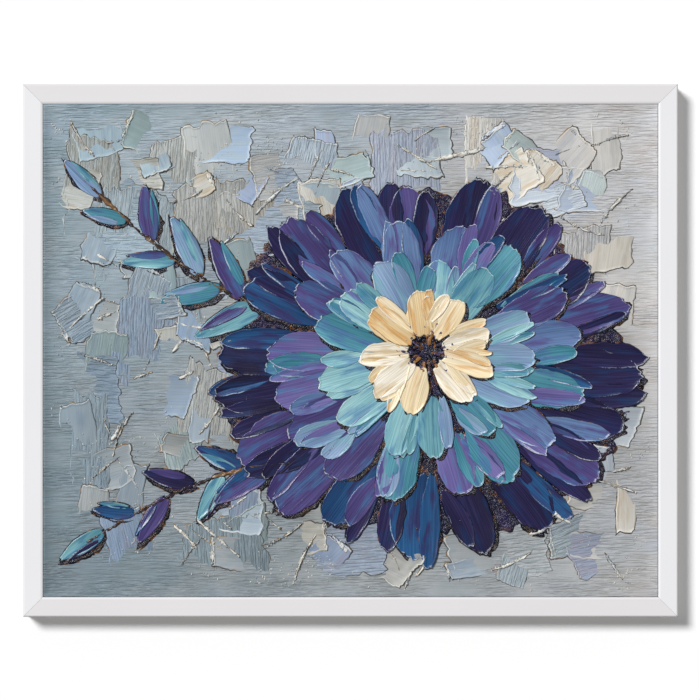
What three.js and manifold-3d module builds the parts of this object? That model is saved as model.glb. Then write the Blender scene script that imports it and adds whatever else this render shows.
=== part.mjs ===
// A framed picture on canvas: a white mitred frame, a stretched canvas in its rebate, and thick paint laid
// on the canvas with a knife as a round bloom with two leaf sprays.
// Millimetres. X runs to the viewer's right, the picture faces -Y, and Z is up.

import * as THREE from 'three';
import { mergeVertices } from 'three/addons/utils/BufferGeometryUtils.js';
import Module from 'manifold-3d';

const wasm = await Module();
wasm.setup();

// Driving dimensions
const SIGHT_WIDTH = 504;
const SIGHT_HEIGHT = 404;
const FACE_WIDTH = 16;
const FRAME_DEPTH = 26;
const LIP_COVER = 2;
const LIP_DEPTH = 4;
const LIP_BEVEL_WIDTH = 1.6;
const LIP_BEVEL_DEPTH = 0.4;
const EDGE_ROUND = 1.2;
const REBATE_CLEARANCE = 1;
const GAP = 0.3;
const GROUND_THICKNESS = 0.8;
const CLOTH_THICKNESS = 0.6;
const BAR_WIDTH = 38;
const BAR_DEPTH = 17;
const BAR_SLOPE = 2.5;
const BAR_BEAD = 6;
const FOLD_WIDTH = 22;
const BUMPER_HEIGHT = 3;
const BUMPER_RADIUS = 5;

// Planes and edges that follow from them
const FRONT = -(FRAME_DEPTH + GAP + BUMPER_HEIGHT) / 2;
const FRAME_BACK = FRONT + FRAME_DEPTH;
const HALF_WIDTH = SIGHT_WIDTH / 2 + FACE_WIDTH;
const HALF_HEIGHT = SIGHT_HEIGHT / 2 + FACE_WIDTH;
const WALL_WIDTH = FACE_WIDTH - LIP_COVER - REBATE_CLEARANCE;
const CANVAS_HALF_WIDTH = SIGHT_WIDTH / 2 + LIP_COVER;
const CANVAS_HALF_HEIGHT = SIGHT_HEIGHT / 2 + LIP_COVER;
const GROUND_FRONT = FRONT + LIP_DEPTH + GAP;
const CANVAS_FRONT = GROUND_FRONT + GROUND_THICKNESS + GAP;
const BAR_FRONT = CANVAS_FRONT + CLOTH_THICKNESS + GAP;
const BAR_BACK = BAR_FRONT + BAR_DEPTH;
const CANVAS_BACK = BAR_BACK + GAP + CLOTH_THICKNESS;
const BAR_INSET = CLOTH_THICKNESS + GAP;
const BAR_HALF_WIDTH = CANVAS_HALF_WIDTH - BAR_INSET;
const BAR_HALF_HEIGHT = CANVAS_HALF_HEIGHT - BAR_INSET;
const QUARTER_TURN = Math.PI / 2;

const LACQUER = { color: 0xe9e9eb, roughness: 0.42, metalness: 0 };
const PINE = { color: 0xd9b583, roughness: 0.7, metalness: 0 };
const BEECH = { color: 0xc79a68, roughness: 0.65, metalness: 0 };
const LINEN = { color: 0xd8cfbd, roughness: 0.9, metalness: 0 };
const ZINC = { color: 0xb9bcc0, roughness: 0.35, metalness: 1 };
const BRASS = { color: 0xc8a45a, roughness: 0.3, metalness: 1 };
const RUBBER = { color: 0xdcdcd8, roughness: 0.5, metalness: 0 };

const picture = new THREE.Group();

function place(name, geometry, finish, turn = 0, x = 0, y = 0, z = 0) {
  const mesh = new THREE.Mesh(geometry, new THREE.MeshStandardMaterial(finish));
  mesh.name = name;
  mesh.rotation.y = turn;
  mesh.position.set(x, y, z);
  picture.add(mesh);
}

// Solids that are cut or joined

function solidOf(geometry) {
  const bare = geometry.index ? geometry.toNonIndexed() : geometry.clone();
  bare.deleteAttribute('normal');
  bare.deleteAttribute('uv');
  const merged = mergeVertices(bare, 1e-5);
  return new wasm.Manifold(new wasm.Mesh({
    numProp: 3,
    vertProperties: new Float32Array(merged.attributes.position.array),
    triVerts: new Uint32Array(merged.index.array),
  }));
}

function geometryOf(solid) {
  const mesh = solid.getMesh();
  const geometry = new THREE.BufferGeometry();
  geometry.setAttribute('position', new THREE.BufferAttribute(mesh.vertProperties, 3));
  geometry.setIndex(new THREE.BufferAttribute(mesh.triVerts, 1));
  geometry.computeVertexNormals();
  return geometry;
}

function joined(solids) {
  return solids.reduce((all, solid) => all.add(solid));
}

function largestBody(solid) {
  return solid.decompose().sort((a, b) => b.volume() - a.volume())[0];
}

function block(halfX, y0, y1, halfZ) {
  const geometry = new THREE.BoxGeometry(2 * halfX, y1 - y0, 2 * halfZ);
  geometry.translate(0, (y0 + y1) / 2, 0);
  return geometry;
}

// Round parts that point backwards out of the frame: [radius, back] pairs turned about Y

function turned(profile, sides) {
  return new THREE.LatheGeometry(profile.map(([r, back]) => new THREE.Vector2(r, back)), sides);
}

// A bar along X on the upper side, mitred at both ends. Section points are [inward, back].

function mitredBar(section, halfLength, halfAcross) {
  const shape = new THREE.Shape(section.map(([inward, back]) => new THREE.Vector2(inward, back)));
  const bar = new THREE.ExtrudeGeometry(shape, { depth: 1, bevelEnabled: false });
  const at = bar.attributes.position;
  for (let i = 0; i < at.count; i++) {
    const inward = at.getX(i);
    const end = at.getZ(i) > 0.5 ? 1 : -1;
    at.setXYZ(i, end * (halfLength - inward - GAP / 2), at.getY(i), halfAcross - inward);
  }
  return bar;
}

const SIDES = [
  { side: 'top', turn: 0, long: true },
  { side: 'right', turn: QUARTER_TURN, long: false },
  { side: 'bottom', turn: 2 * QUARTER_TURN, long: true },
  { side: 'left', turn: -QUARTER_TURN, long: false },
];

// Frame rails: lip in front, rebate behind it, eased outer edge

const CLIP_WIDTH = 14;
const CLIP_THICKNESS = 1.2;
const CLIP_OUTER = 3;
const CLIP_REACH = 29;
const CLIP_STEP = 1.6;
const CLIP_LONG_OFFSET = 150;
const SCREW_INWARD = 7.5;
const SCREW_RADIUS = 1.5;
const SCREW_HEAD_RADIUS = 3.2;
const SCREW_HEAD_HEIGHT = 1.4;
const SCREW_LENGTH = 11;
const SCREW_POINT = 2;
const SCREW_PROUD = 5;
const SCREW_CLEARANCE = 0.35;
const PILOT_DEPTH = SCREW_LENGTH - CLIP_THICKNESS - GAP + 1;
const NAIL_RADIUS = 0.9;
const NAIL_HEAD_RADIUS = 2.2;
const NAIL_HEAD_HEIGHT = 0.7;
const NAIL_LENGTH = 10;
const NAIL_OFFSET = 20;
const HANGER_INWARD = 6.5;
const ROUND_SIDES = 12;

const RAIL_SECTION = [
  [0, FRONT + EDGE_ROUND],
  [0.3 * EDGE_ROUND, FRONT + 0.3 * EDGE_ROUND],
  [EDGE_ROUND, FRONT],
  [FACE_WIDTH - LIP_BEVEL_WIDTH, FRONT],
  [FACE_WIDTH, FRONT + LIP_BEVEL_DEPTH],
  [FACE_WIDTH, FRONT + LIP_DEPTH],
  [WALL_WIDTH, FRONT + LIP_DEPTH],
  [WALL_WIDTH, FRAME_BACK],
  [EDGE_ROUND, FRAME_BACK],
  [0, FRAME_BACK - EDGE_ROUND],
];

function clipOffsets(long) {
  return long ? [-CLIP_LONG_OFFSET, CLIP_LONG_OFFSET] : [0];
}

function bore(x, z, radius, y0, y1) {
  const hole = new THREE.CylinderGeometry(radius, radius, y1 - y0, ROUND_SIDES);
  return solidOf(hole.translate(x, (y0 + y1) / 2, z));
}

function pilotHole(x, z, radius, depth) {
  return bore(x, z, radius, FRAME_BACK - depth, FRAME_BACK + 1);
}

function frameRails() {
  for (const { side, turn, long } of SIDES) {
    const halfLength = long ? HALF_WIDTH : HALF_HEIGHT;
    const halfAcross = long ? HALF_HEIGHT : HALF_WIDTH;
    let rail = solidOf(mitredBar(RAIL_SECTION, halfLength, halfAcross));
    for (const x of clipOffsets(long)) {
      const radius = SCREW_RADIUS + SCREW_CLEARANCE;
      rail = rail.subtract(pilotHole(x, halfAcross - SCREW_INWARD, radius, PILOT_DEPTH));
    }
    if (side === 'top') {
      for (const x of [-NAIL_OFFSET, NAIL_OFFSET]) {
        const radius = NAIL_RADIUS + SCREW_CLEARANCE;
        rail = rail.subtract(pilotHole(x, halfAcross - HANGER_INWARD, radius, NAIL_LENGTH));
      }
    }
    place(`frame_rail_${side}`, geometryOf(rail), LACQUER, turn);
  }
}

// Stretcher bars, and the wedges in their corner slots

const KEY_THICKNESS = 3;
const KEY_FROM_CORNER = 10;
const KEY_OUT = 9;
const KEY_IN = 20;
const KEY_WIDTH = 10;
const KEY_TIP_WIDTH = 5;
const KEY_FRONT = BAR_FRONT + 8.5;

const BAR_SECTION = [
  [0, BAR_FRONT + 1],
  [1, BAR_FRONT],
  [BAR_BEAD, BAR_FRONT],
  [BAR_WIDTH, BAR_FRONT + BAR_SLOPE],
  [BAR_WIDTH, BAR_BACK],
  [0, BAR_BACK],
];

// A wedge driven outwards through the inner edge of the upper bar, at its right (1) or left (-1) end

function key(halfLength, halfAcross, end, grown) {
  const corner = end * (halfLength - BAR_WIDTH);
  const inner = halfAcross - BAR_WIDTH;
  const near = corner - end * (KEY_FROM_CORNER - grown);
  const far = corner - end * (KEY_FROM_CORNER + KEY_WIDTH + grown);
  const tip = corner - end * (KEY_FROM_CORNER + KEY_TIP_WIDTH + grown);
  const outline = new THREE.Shape([
    new THREE.Vector2(near, inner - KEY_OUT - grown),
    new THREE.Vector2(near, inner + KEY_IN + grown),
    new THREE.Vector2(tip, inner + KEY_IN + grown),
    new THREE.Vector2(far, inner - KEY_OUT - grown),
  ]);
  const depth = KEY_THICKNESS + 2 * grown;
  const wedge = new THREE.ExtrudeGeometry(outline, { depth, bevelEnabled: false });
  return wedge.rotateX(QUARTER_TURN).translate(0, KEY_FRONT + KEY_THICKNESS + grown, 0);
}

function stretcher() {
  for (const { side, turn, long } of SIDES) {
    const halfLength = long ? BAR_HALF_WIDTH : BAR_HALF_HEIGHT;
    const halfAcross = long ? BAR_HALF_HEIGHT : BAR_HALF_WIDTH;
    let bar = solidOf(mitredBar(BAR_SECTION, halfLength, halfAcross));
    for (const end of [-1, 1]) {
      bar = bar.subtract(solidOf(key(halfLength, halfAcross, end, GAP)));
      const which = end < 0 ? 'a' : 'b';
      place(`corner_key_${side}_${which}`, key(halfLength, halfAcross, end, 0), BEECH, turn);
    }
    place(`stretcher_bar_${side}`, geometryOf(bar), PINE, turn);
  }
}

// Canvas: one sheet over the bars' front, round their outer edges and folded onto their backs

function canvas() {
  const inner = CLOTH_THICKNESS;
  const whole = block(CANVAS_HALF_WIDTH, CANVAS_FRONT, CANVAS_BACK, CANVAS_HALF_HEIGHT);
  const hollow = block(
    CANVAS_HALF_WIDTH - inner, CANVAS_FRONT + inner, CANVAS_BACK - inner, CANVAS_HALF_HEIGHT - inner,
  );
  const window = block(
    CANVAS_HALF_WIDTH - FOLD_WIDTH, BAR_BACK - 1, CANVAS_BACK + 1, CANVAS_HALF_HEIGHT - FOLD_WIDTH,
  );
  const cloth = solidOf(whole).subtract(solidOf(hollow)).subtract(solidOf(window));
  place('canvas', geometryOf(cloth), LINEN);
}

// Paint. A stroke runs from its root to its tip; stations give its half width as a share of the whole,
// and paint piles up towards the tip, where the knife lifts off.

const STATIONS = [[0, 0.45], [0.3, 0.85], [0.62, 1], [0.86, 0.74]];
const STROKE_INSET = 0.72;
const STROKE_LENGTH_INSET = 0.9;
const STROKE_ROOT_SHARE = 0.55;

// The same repeatable scatter wherever the pattern needs an uneven value, from -1 to 1

function scatter(seed) {
  const wave = Math.sin(seed * 12.9898) * 43758.5453;
  return 2 * (wave - Math.floor(wave)) - 1;
}

function strokeOutline(length, width, grown) {
  const left = STATIONS.map(([t, w]) => [t * length, (w * width) / 2 + grown]);
  left[0][0] -= grown;
  const right = left.map(([s, w]) => [s, -w]).reverse();
  const points = [...left, [length + grown, 0], ...right];
  return new THREE.Shape(points.map(([s, w]) => new THREE.Vector2(s, w)));
}

// Lays an upright outline down on the ground at a root point, heading along an angle in the picture's plane

function laidDown(outline, root, angle, low, high, shaped) {
  const body = new THREE.ExtrudeGeometry(outline, { depth: 1, bevelEnabled: false });
  const at = body.attributes.position;
  for (let i = 0; i < at.count; i++) {
    let s = at.getX(i);
    let w = at.getY(i);
    let rise = at.getZ(i) > 0.5 ? high : low;
    if (shaped && at.getZ(i) > 0.5) {
      rise = low + (high - low) * (STROKE_ROOT_SHARE + (1 - STROKE_ROOT_SHARE) * (s / shaped));
      s = shaped / 2 + (s - shaped / 2) * STROKE_LENGTH_INSET;
      w *= STROKE_INSET;
    }
    const x = root[0] + s * Math.cos(angle) - w * Math.sin(angle);
    const z = root[1] + s * Math.sin(angle) + w * Math.cos(angle);
    at.setXYZ(i, x, GROUND_FRONT - rise, z);
  }
  return solidOf(body);
}

function strokeSolid({ root, angle, length, width, rise }) {
  return laidDown(strokeOutline(length, width, 0), root, angle, GAP, rise, length);
}

function strokeCutter({ root, angle, length, width }) {
  return laidDown(strokeOutline(length, width, GAP), root, angle, 0, LIP_DEPTH, 0);
}

// The bloom: rings of petal strokes round a heart, seen a little from below

const BLOOM_CENTRE = [62, -14];
const BLOOM_SQUASH = 0.9;
const RINGS = [
  { name: 'petals_outer', count: 19, root: 94, tip: 172, width: 50, rise: 1.5, lift: 0, color: 0x2d2763 },
  { name: 'petals_second', count: 16, root: 62, tip: 130, width: 44, rise: 2.1, lift: 4, color: 0x5a66a6 },
  { name: 'petals_third', count: 13, root: 34, tip: 92, width: 37, rise: 2.7, lift: 9, color: 0x5fa3b4 },
  { name: 'petals_inner', count: 9, root: 13, tip: 58, width: 30, rise: 3.3, lift: 13, color: 0xe6d3ae },
];
const HEART = { radius: 17, rise: 3.8, lift: 14, color: 0x1b1730 };
const HEART_PROFILE = [[1, 0.6], [0.6, 0.92], [0, 1]];
const HEART_SIDES = 20;
const BED_SEGMENTS = 9;
const BED_SHARE = 0.6;
const PLACE_SCATTER = 0.16;
const TIP_SCATTER = 0.05;
const HEADING_SCATTER = 0.12;
const WIDTH_SCATTER = 0.12;

function bloomPoint(radius, angle, lift) {
  return [
    BLOOM_CENTRE[0] + radius * Math.cos(angle),
    BLOOM_CENTRE[1] + lift + radius * BLOOM_SQUASH * Math.sin(angle),
  ];
}

function ringStrokes(ring, index) {
  const strokes = [];
  for (let i = 0; i < ring.count; i++) {
    const seed = 100 * (index + 1) + i;
    const step = i + 0.5 * (index % 2) + PLACE_SCATTER * scatter(seed);
    const angle = (2 * Math.PI * step) / ring.count;
    const root = bloomPoint(ring.root, angle, ring.lift);
    const tip = bloomPoint(ring.tip * (1 + TIP_SCATTER * scatter(seed + 31)), angle, ring.lift);
    const length = Math.hypot(tip[0] - root[0], tip[1] - root[1]);
    const outwards = Math.atan2(tip[1] - root[1], tip[0] - root[0]);
    const heading = outwards + HEADING_SCATTER * scatter(seed + 57);
    const width = ring.width * (1 + WIDTH_SCATTER * scatter(seed + 83));
    strokes.push({ root, angle: heading, length, width, rise: ring.rise });
  }
  return strokes;
}

// A flat ring of paint that the strokes of one ring grow from

function bed(radius, hollow, lift, low, high) {
  const shape = new THREE.Shape();
  shape.absarc(0, 0, radius, 0, 2 * Math.PI, false);
  if (hollow) {
    const hole = new THREE.Path();
    hole.absarc(0, 0, hollow, 0, 2 * Math.PI, true);
    shape.holes.push(hole);
  }
  const geometry = new THREE.ExtrudeGeometry(shape, {
    depth: 1, bevelEnabled: false, curveSegments: BED_SEGMENTS,
  });
  const at = geometry.attributes.position;
  for (let i = 0; i < at.count; i++) {
    const rise = at.getZ(i) > 0.5 ? high : low;
    const x = BLOOM_CENTRE[0] + at.getX(i);
    const z = BLOOM_CENTRE[1] + lift + at.getY(i) * BLOOM_SQUASH;
    at.setXYZ(i, x, GROUND_FRONT - rise, z);
  }
  return solidOf(geometry);
}

// The heart is a low dome, cut into facets

function heartSolid() {
  const { radius, rise, lift } = HEART;
  const upper = HEART_PROFILE.map(([r, up]) => [r * radius, up * rise]);
  const profile = [[0, GAP], [radius, GAP], ...upper];
  const dome = turned(profile.map(([r, up]) => [r, -up]).reverse(), HEART_SIDES);
  dome.scale(1, 1, BLOOM_SQUASH);
  dome.translate(BLOOM_CENTRE[0], GROUND_FRONT, BLOOM_CENTRE[1] + lift);
  return solidOf(dome);
}

// Builds the rings from the heart outwards, each cut where the ones laid over it lie

function bloom() {
  const paint = [{ name: 'bloom_heart', solid: heartSolid(), color: HEART.color }];
  let cover = bed(HEART.radius + GAP, 0, HEART.lift, 0, LIP_DEPTH);
  for (let index = RINGS.length - 1; index >= 0; index--) {
    const ring = RINGS[index];
    const strokes = ringStrokes(ring, index);
    const middle = (ring.root + ring.tip) / 2;
    const ground = bed(middle, ring.root, ring.lift, GAP, BED_SHARE * ring.rise);
    const body = joined([ground, ...strokes.map(strokeSolid)]);
    paint.push({ name: ring.name, solid: largestBody(body.subtract(cover)), color: ring.color });
    cover = joined([cover, bed(middle + GAP, 0, ring.lift, 0, LIP_DEPTH), ...strokes.map(strokeCutter)]);
  }
  return { paint, cover };
}

// Leaf sprays: a curved stem with leaf strokes on alternate sides

const SPRAYS = [
  {
    name: 'leaf_spray_upper', seed: 700, leaves: 8, length: 62, width: 25, color: 0x4c98a8,
    stem: [[-60, 34], [-120, 44], [-206, 128]],
  },
  {
    name: 'leaf_spray_lower', seed: 800, leaves: 7, length: 58, width: 24, color: 0x3b2f78,
    stem: [[-48, -92], [-112, -92], [-204, -150]],
  },
];
const STEM_WIDTH = 5;
const STEM_STEPS = 5;
const STEM_OVERLAP = 1.5;
const STEM_RISE = 1.36;
const LEAF_RISE = 1.7;
const LEAF_SPREAD = 0.62;
const LEAF_SPREAD_SCATTER = 0.15;
const LEAF_SHRINK = 0.3;
const LEAF_SIZE_SCATTER = 0.1;
const LEAF_ROOT_BACK = 3;

function stemCurve({ stem }) {
  return new THREE.QuadraticBezierCurve(...stem.map(([x, z]) => new THREE.Vector2(x, z)));
}

function sprayStrokes(spray) {
  const curve = stemCurve(spray);
  const strokes = [];
  for (let i = 0; i < STEM_STEPS; i++) {
    const from = curve.getPoint(i / STEM_STEPS);
    const to = curve.getPoint((i + 1) / STEM_STEPS);
    const angle = Math.atan2(to.y - from.y, to.x - from.x);
    const length = STEM_OVERLAP * from.distanceTo(to);
    strokes.push({ root: [from.x, from.y], angle, length, width: STEM_WIDTH, rise: STEM_RISE });
  }
  for (let i = 0; i < spray.leaves; i++) {
    const t = (i + 1) / spray.leaves;
    const root = curve.getPoint(t);
    const along = curve.getTangent(t);
    const side = i % 2 === 0 ? 1 : -1;
    const spread = LEAF_SPREAD + LEAF_SPREAD_SCATTER * scatter(spray.seed + i);
    const last = i === spray.leaves - 1;
    const size = 1 - LEAF_SHRINK * t + LEAF_SIZE_SCATTER * scatter(spray.seed + 20 + i);
    strokes.push({
      root: [root.x - LEAF_ROOT_BACK * along.x, root.y - LEAF_ROOT_BACK * along.y],
      angle: Math.atan2(along.y, along.x) + (last ? 0 : side * spread),
      length: spray.length * size,
      width: spray.width * size,
      rise: LEAF_RISE,
    });
  }
  return strokes;
}

function sprays(cover) {
  const paint = [];
  let covered = cover;
  for (const spray of SPRAYS) {
    const strokes = sprayStrokes(spray);
    const body = joined(strokes.map(strokeSolid)).subtract(covered);
    paint.push({ name: spray.name, solid: largestBody(body), color: spray.color });
    covered = joined([covered, ...strokes.map(strokeCutter)]);
  }
  return { paint, cover: covered };
}

// The ground: a thin plate of paint over the whole canvas, with raised knife patches

const PATCHES = 30;
const PATCH_SIZE = 38;
const PATCH_CORNERS = 7;
const PATCH_RISE = 0.7;
const PATCH_MARGIN = 26;
const PATCH_REACH_SCATTER = 0.3;
const PATCH_RISE_SCATTER = 0.4;

function patchSolid(seed) {
  const x = scatter(seed) * (SIGHT_WIDTH / 2 - PATCH_MARGIN);
  const z = scatter(seed + 7) * (SIGHT_HEIGHT / 2 - PATCH_MARGIN);
  const points = [];
  for (let i = 0; i < PATCH_CORNERS; i++) {
    const angle = (2 * Math.PI * i) / PATCH_CORNERS;
    const reach = (PATCH_SIZE / 2) * (1 + PATCH_REACH_SCATTER * scatter(seed + 11 * (i + 1)));
    points.push(new THREE.Vector2(reach * Math.cos(angle), reach * Math.sin(angle)));
  }
  const rise = PATCH_RISE * (1 + PATCH_RISE_SCATTER * scatter(seed + 3));
  return laidDown(new THREE.Shape(points), [x, z], scatter(seed + 5), -GAP, rise, 0);
}

function ground(cover) {
  const plate = block(CANVAS_HALF_WIDTH, GROUND_FRONT, GROUND_FRONT + GROUND_THICKNESS, CANVAS_HALF_HEIGHT);
  const patches = [];
  for (let i = 0; i < PATCHES; i++) {
    patches.push(patchSolid(1000 + 17 * i));
  }
  const raised = joined(patches).subtract(cover);
  place('paint_ground', geometryOf(solidOf(plate).add(raised)), { color: 0x9aa3a8, roughness: 0.55 });
}

function paintLayers() {
  const flower = bloom();
  const leaves = sprays(flower.cover);
  for (const { name, solid, color } of [...flower.paint, ...leaves.paint]) {
    place(name, geometryOf(solid), { color, roughness: 0.4, metalness: 0 });
  }
  ground(leaves.cover);
}

// Offset clips hold the stretcher in the rebate, each with one pan-head screw into the rail

function clipSolid(x, halfAcross) {
  const high = FRAME_BACK + GAP;
  const low = CANVAS_BACK + GAP;
  const bend = WALL_WIDTH + CLIP_STEP;
  const outline = new THREE.Shape([
    new THREE.Vector2(CLIP_OUTER, high),
    new THREE.Vector2(WALL_WIDTH + GAP, high),
    new THREE.Vector2(bend, low),
    new THREE.Vector2(CLIP_REACH, low),
    new THREE.Vector2(CLIP_REACH, low + CLIP_THICKNESS),
    new THREE.Vector2(bend + CLIP_STEP / 2, low + CLIP_THICKNESS),
    new THREE.Vector2(WALL_WIDTH + CLIP_STEP / 2, high + CLIP_THICKNESS),
    new THREE.Vector2(CLIP_OUTER, high + CLIP_THICKNESS),
  ]);
  const clip = new THREE.ExtrudeGeometry(outline, { depth: CLIP_WIDTH, bevelEnabled: false });
  clip.rotateY(QUARTER_TURN);
  clip.translate(x - CLIP_WIDTH / 2, 0, halfAcross);
  const radius = SCREW_RADIUS + SCREW_CLEARANCE;
  const hole = bore(x, halfAcross - SCREW_INWARD, radius, FRAME_BACK, high + SCREW_PROUD);
  return solidOf(clip).subtract(hole);
}

function screwGeometry() {
  const seat = FRAME_BACK + GAP + CLIP_THICKNESS + GAP;
  return turned([
    [0, seat - SCREW_LENGTH],
    [SCREW_RADIUS, seat - SCREW_LENGTH + SCREW_POINT],
    [SCREW_RADIUS, seat],
    [SCREW_HEAD_RADIUS, seat],
    [0.8 * SCREW_HEAD_RADIUS, seat + 0.7 * SCREW_HEAD_HEIGHT],
    [0, seat + SCREW_HEAD_HEIGHT],
  ], ROUND_SIDES);
}

function clips() {
  for (const { side, turn, long } of SIDES) {
    const halfAcross = long ? HALF_HEIGHT : HALF_WIDTH;
    clipOffsets(long).forEach((x, i) => {
      const which = long ? `_${'ab'[i]}` : '';
      place(`canvas_clip_${side}${which}`, geometryOf(clipSolid(x, halfAcross)), ZINC, turn);
      const screw = screwGeometry().translate(x, 0, halfAcross - SCREW_INWARD);
      place(`clip_screw_${side}${which}`, screw, ZINC, turn);
    });
  }
}

// Sawtooth hanger: a strip nailed at both ends to the top rail, bowed out in the middle, with teeth below

const HANGER_LENGTH = 48;
const HANGER_WIDTH = 10;
const HANGER_THICKNESS = 0.9;
const HANGER_BOW = 1.5;
const HANGER_FOOT = 9;
const TOOTH_COUNT = 8;
const TOOTH_DEPTH = 2.2;
const TOOTH_PITCH = 3;
const TOOTH_SQUEEZE = 0.6;

function hanger() {
  const foot = FRAME_BACK + GAP;
  const half = HANGER_LENGTH / 2;
  const bend = half - HANGER_FOOT;
  const t = HANGER_THICKNESS;
  const strip = new THREE.Shape([
    new THREE.Vector2(-half, foot),
    new THREE.Vector2(-bend, foot),
    new THREE.Vector2(-bend + HANGER_BOW, foot + HANGER_BOW),
    new THREE.Vector2(bend - HANGER_BOW, foot + HANGER_BOW),
    new THREE.Vector2(bend, foot),
    new THREE.Vector2(half, foot),
    new THREE.Vector2(half, foot + t),
    new THREE.Vector2(bend + t / 2, foot + t),
    new THREE.Vector2(bend - HANGER_BOW + t / 2, foot + HANGER_BOW + t),
    new THREE.Vector2(-bend + HANGER_BOW - t / 2, foot + HANGER_BOW + t),
    new THREE.Vector2(-bend - t / 2, foot + t),
    new THREE.Vector2(-half, foot + t),
  ]);
  const base = HALF_HEIGHT - HANGER_INWARD;
  const bent = new THREE.ExtrudeGeometry(strip, { depth: HANGER_WIDTH, bevelEnabled: false });
  bent.translate(0, 0, base - HANGER_WIDTH / 2);
  let plate = solidOf(bent);
  for (let i = 0; i < TOOTH_COUNT; i++) {
    const x = (i - (TOOTH_COUNT - 1) / 2) * TOOTH_PITCH;
    const notch = new THREE.CylinderGeometry(TOOTH_DEPTH, TOOTH_DEPTH, 4 * HANGER_BOW, 4);
    notch.scale(TOOTH_SQUEEZE, 1, 1);
    notch.translate(x, foot + HANGER_BOW, base - HANGER_WIDTH / 2);
    plate = plate.subtract(solidOf(notch));
  }
  for (const x of [-NAIL_OFFSET, NAIL_OFFSET]) {
    const radius = NAIL_RADIUS + SCREW_CLEARANCE;
    plate = plate.subtract(bore(x, base, radius, FRAME_BACK, foot + SCREW_PROUD));
  }
  place('sawtooth_hanger', geometryOf(plate), BRASS);
  const seat = foot + t + GAP;
  const nail = [
    [0, seat + NAIL_HEAD_HEIGHT - NAIL_LENGTH],
    [NAIL_RADIUS, seat + NAIL_HEAD_HEIGHT - NAIL_LENGTH + SCREW_POINT],
    [NAIL_RADIUS, seat],
    [NAIL_HEAD_RADIUS, seat],
    [NAIL_HEAD_RADIUS, seat + 0.6 * NAIL_HEAD_HEIGHT],
    [0, seat + NAIL_HEAD_HEIGHT],
  ];
  place('hanger_nail_left', turned(nail, ROUND_SIDES), BRASS, 0, -NAIL_OFFSET, 0, base);
  place('hanger_nail_right', turned(nail, ROUND_SIDES), BRASS, 0, NAIL_OFFSET, 0, base);
}

// Bumpers keep the lower edge off the wall

const BUMPER_INSET = 9;
const BUMPER_PROFILE = [[1, 0.5], [0.86, 0.88], [0.64, 1], [0, 1]];

function bumpers() {
  const seat = FRAME_BACK + GAP;
  const dome = [
    [0, seat],
    [BUMPER_RADIUS, seat],
    ...BUMPER_PROFILE.map(([r, up]) => [r * BUMPER_RADIUS, seat + up * BUMPER_HEIGHT]),
  ];
  const x = HALF_WIDTH - BUMPER_INSET - BUMPER_RADIUS;
  const z = -HALF_HEIGHT + WALL_WIDTH / 2;
  place('bumper_left', turned(dome, 2 * ROUND_SIDES), RUBBER, 0, -x, 0, z);
  place('bumper_right', turned(dome, 2 * ROUND_SIDES), RUBBER, 0, x, 0, z);
}

frameRails();
stretcher();
canvas();
paintLayers();
clips();
hanger();
bumpers();

export default picture;
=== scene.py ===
# A picture on stretched canvas in a white mitred frame, hung on a wall. The paint is laid on thick with a
# knife: a round bloom with two leaf sprays on a combed and patched ground.
# Lengths marked _MM are millimetres; everything else is in metres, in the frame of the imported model.
import functools
import math

import bmesh
import bpy
import numpy as np
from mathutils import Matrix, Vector


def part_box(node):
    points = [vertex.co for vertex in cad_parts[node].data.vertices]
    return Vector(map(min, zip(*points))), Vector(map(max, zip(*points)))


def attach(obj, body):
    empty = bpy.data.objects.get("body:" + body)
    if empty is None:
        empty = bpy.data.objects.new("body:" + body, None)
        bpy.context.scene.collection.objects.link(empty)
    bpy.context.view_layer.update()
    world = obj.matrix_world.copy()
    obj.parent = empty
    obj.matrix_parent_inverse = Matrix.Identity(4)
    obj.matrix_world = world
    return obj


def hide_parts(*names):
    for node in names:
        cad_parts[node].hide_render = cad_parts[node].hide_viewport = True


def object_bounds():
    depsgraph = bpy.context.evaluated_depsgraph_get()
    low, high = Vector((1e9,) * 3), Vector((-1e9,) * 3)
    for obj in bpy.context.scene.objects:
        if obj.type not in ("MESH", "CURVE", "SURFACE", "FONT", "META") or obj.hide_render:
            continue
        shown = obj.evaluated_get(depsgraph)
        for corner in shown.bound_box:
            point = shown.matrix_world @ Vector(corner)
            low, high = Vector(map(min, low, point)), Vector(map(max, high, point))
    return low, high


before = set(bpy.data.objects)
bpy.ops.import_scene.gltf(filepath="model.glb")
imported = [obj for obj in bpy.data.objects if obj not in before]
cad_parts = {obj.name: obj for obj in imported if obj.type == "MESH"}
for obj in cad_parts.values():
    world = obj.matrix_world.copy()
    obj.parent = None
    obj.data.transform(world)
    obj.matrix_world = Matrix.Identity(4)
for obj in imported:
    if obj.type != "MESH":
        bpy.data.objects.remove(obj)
cad_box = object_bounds()
MM = 0.001
CORNERS = ((1, 1), (-1, 1), (-1, -1), (1, -1))

# Camera, light and wall
# The picture is seen square on from far off. One soft light stands high on the left and throws the frame's
# shadow down to the right on a near-white wall; a faint raking light picks out the relief of the paint.
VIEW_PX = 700
FRAME_PX = 655
VIEW_SHIFT_MM = 0.4
LENS_MM = 200
SENSOR_MM = 36
cad_low, cad_high = cad_box
view_width = (cad_high[0] - cad_low[0]) * VIEW_PX / FRAME_PX
view_distance = view_width * LENS_MM / SENSOR_MM

camera = bpy.data.objects.new("camera", bpy.data.cameras.new("camera"))
camera.data.lens = LENS_MM
camera.data.sensor_width = SENSOR_MM
camera.data.clip_end = 50
camera.location = (-VIEW_SHIFT_MM * MM, cad_low[1] - view_distance, VIEW_SHIFT_MM * MM)
camera.rotation_euler = (math.radians(90), 0, 0)
bpy.context.collection.objects.link(camera)
bpy.context.scene.camera = camera
bpy.context.scene.view_settings.view_transform = "Standard"


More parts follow.
